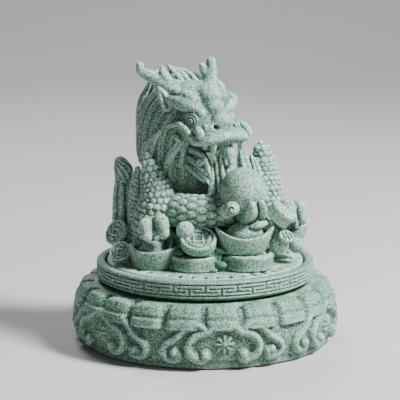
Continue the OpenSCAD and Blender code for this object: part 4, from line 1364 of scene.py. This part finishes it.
def make_pearl_claw():
    """The hand under the pearl: a rolled claw on the left and two blunt toes in front of it."""
    pearl, (low, high) = middle("pearl"), box_mm("pearl")
    r = (high[0] - low[0]) / 2
    clay = clay_round("pearl_claw", 2.5, 0.18)
    clay.bar([pearl + np.array((-1.8, 5.4, -7.5)), pearl + np.array((0.4, 0.6, -7.8))], (3.0, 2.8), 0.5)
    # root, knuckle and tip from the pearl's middle, and radius
    for *joints, size in (((-5.0, -1.6, -7.0), (-5.4, -4.6, -5.4), (-3.6, -6.2, -4.2), 1.95),
                          ((1.0, -1.6, -8.4), (2.3, -6.0, -5.8), (2.6, -7.2, -3.2), 1.8),
                          ((5.4, -0.4, -7.2), (5.9, -4.4, -5.0), (5.4, -6.0, -2.6), 1.4)):
        joints = [pearl + np.array(p) for p in joints]
        clay.bar([pearl, joints[0]], (2.0, 2.0), 0.3)
        add_toe(clay, *joints, size)
    # the rolled claw: a spiral cut into the end of the left toe
    eye = pearl + np.array((-3.6, -7.6, -4.3))
    clay.ball(eye + np.array((0, 1.4, 0)), 2.3, 0.4)
    spiral = []
    for t in np.linspace(0, 7.2, 15):
        out = 0.35 + 0.26 * t
        spiral.append(eye + np.array((out * math.cos(t + 0.5), -0.75 + 0.1 * t, out * math.sin(t + 0.5))))
    clay.bar(spiral, np.linspace(0.3, 0.2, 15), 0.2, cut=True, parts=3)
    # a leaf-shaped fold of the wrist below the toes
    fold = ((6.8, -2.8, -9.6), (4.6, -4.6, -9.9), (2.4, -5.0, -10.2))
    clay.bar([pearl + np.array(p) for p in fold], (0.8, 1.1, 0.5), 0.2)
    clay.ball(pearl, r - PEARL_POLISH - 0.05, cut=True)
    cast(clay, "pearl_claw_rolled", "pearl_claw", jade)


def make_pearl():
    clay = clay_round("pearl", 1.2, 0.3)
    low, high = box_mm("pearl")
    clay.ball((low + high) / 2, (high[0] - low[0]) / 2 - PEARL_POLISH)
    cast(clay, "pearl_polished", "pearl", jade)


# ---- Camera, floor and light ----

def make_camera():
    """The photograph's view: from a little above, at about seven times the ornament's height."""
    height = cad_bounds[1][2] - cad_bounds[0][2]
    camera = bpy.data.objects.new("camera", bpy.data.cameras.new("camera"))
    bpy.context.scene.collection.objects.link(camera)
    distance, rise = 0.6, math.radians(11)
    aim = Vector((-0.0016, 0, 0.4987 * height))
    camera.location = aim + distance * Vector((0, -math.cos(rise), math.sin(rise)))
    camera.rotation_euler = (math.pi / 2 - rise, 0, 0)
    camera.data.lens = 169.8
    camera.data.sensor_width = 36
    camera.data.clip_start = 0.01
    bpy.context.scene.camera = camera


def make_floor():
    floor_size, rise, bend = 1.2, 0.7, 0.35
    rows = [(-floor_size, 0.0)]
    for a in np.linspace(0, math.pi / 2, 12):
        rows.append((floor_size / 2 + bend * math.sin(a), bend * (1 - math.cos(a))))
    rows.append((floor_size / 2 + bend, bend + rise))
    points = [(x, y, z) for y, z in rows for x in (-floor_size, floor_size)]
    faces = [(2 * i, 2 * i + 1, 2 * i + 3, 2 * i + 2) for i in range(len(rows) - 1)]
    mesh = bpy.data.meshes.new("floor")
    mesh.from_pydata(points, [], faces)
    for face in mesh.polygons:
        face.use_smooth = True
    floor = bpy.data.objects.new("floor", mesh)
    bpy.context.scene.collection.objects.link(floor)
    material = bpy.data.materials.new("floor_paper")
    material.use_nodes = True
    shader = material.node_tree.nodes["Principled BSDF"]
    shader.inputs["Base Color"].default_value = (0.40, 0.40, 0.395, 1)
    shader.inputs["Roughness"].default_value = 0.9
    mesh.materials.append(material)


# A key from the right, a weak wide fill from the front and a lamp behind: place, size, power
LAMPS = (("key", (0.40, -0.16, 0.48), 0.16, 14.2),
         ("fill", (-0.1, -0.6, 0.25), 0.6, 0.6),
         ("back", (-0.2, 0.45, 0.6), 0.3, 4.5))


def make_light():
    """The lamps, aimed at the middle of the ornament, and a faint sky."""
    for name, place, size, power in LAMPS:
        lamp = bpy.data.lights.new(name, "AREA")
        lamp.energy, lamp.size = power, size
        holder = bpy.data.objects.new(name, lamp)
        holder.location = place
        holder.rotation_euler = (Vector((0, 0, 0.045)) - Vector(place)).to_track_quat("-Z", "Y").to_euler()
        bpy.context.scene.collection.objects.link(holder)
    world = bpy.data.worlds.new("studio")
    world.use_nodes = True
    world.node_tree.nodes["Background"].inputs["Color"].default_value = (0.9, 0.95, 1.0, 1)
    world.node_tree.nodes["Background"].inputs["Strength"].default_value = 0.05
    bpy.context.scene.world = world


make_camera()
make_floor()
make_light()
make_plinth()
make_ring()
make_plate()
for make in (make_mound, make_coins, make_ingots, make_beads, make_coil, make_haunches, make_side_fold,
             make_tail, make_neck, make_mane, make_crest, make_fins, make_head, make_eyes, make_mouth,
             make_whiskers, make_beard, make_jaw_locks, make_horns, make_ears, make_paws, make_pearl_claw,
             make_pearl):
    make()
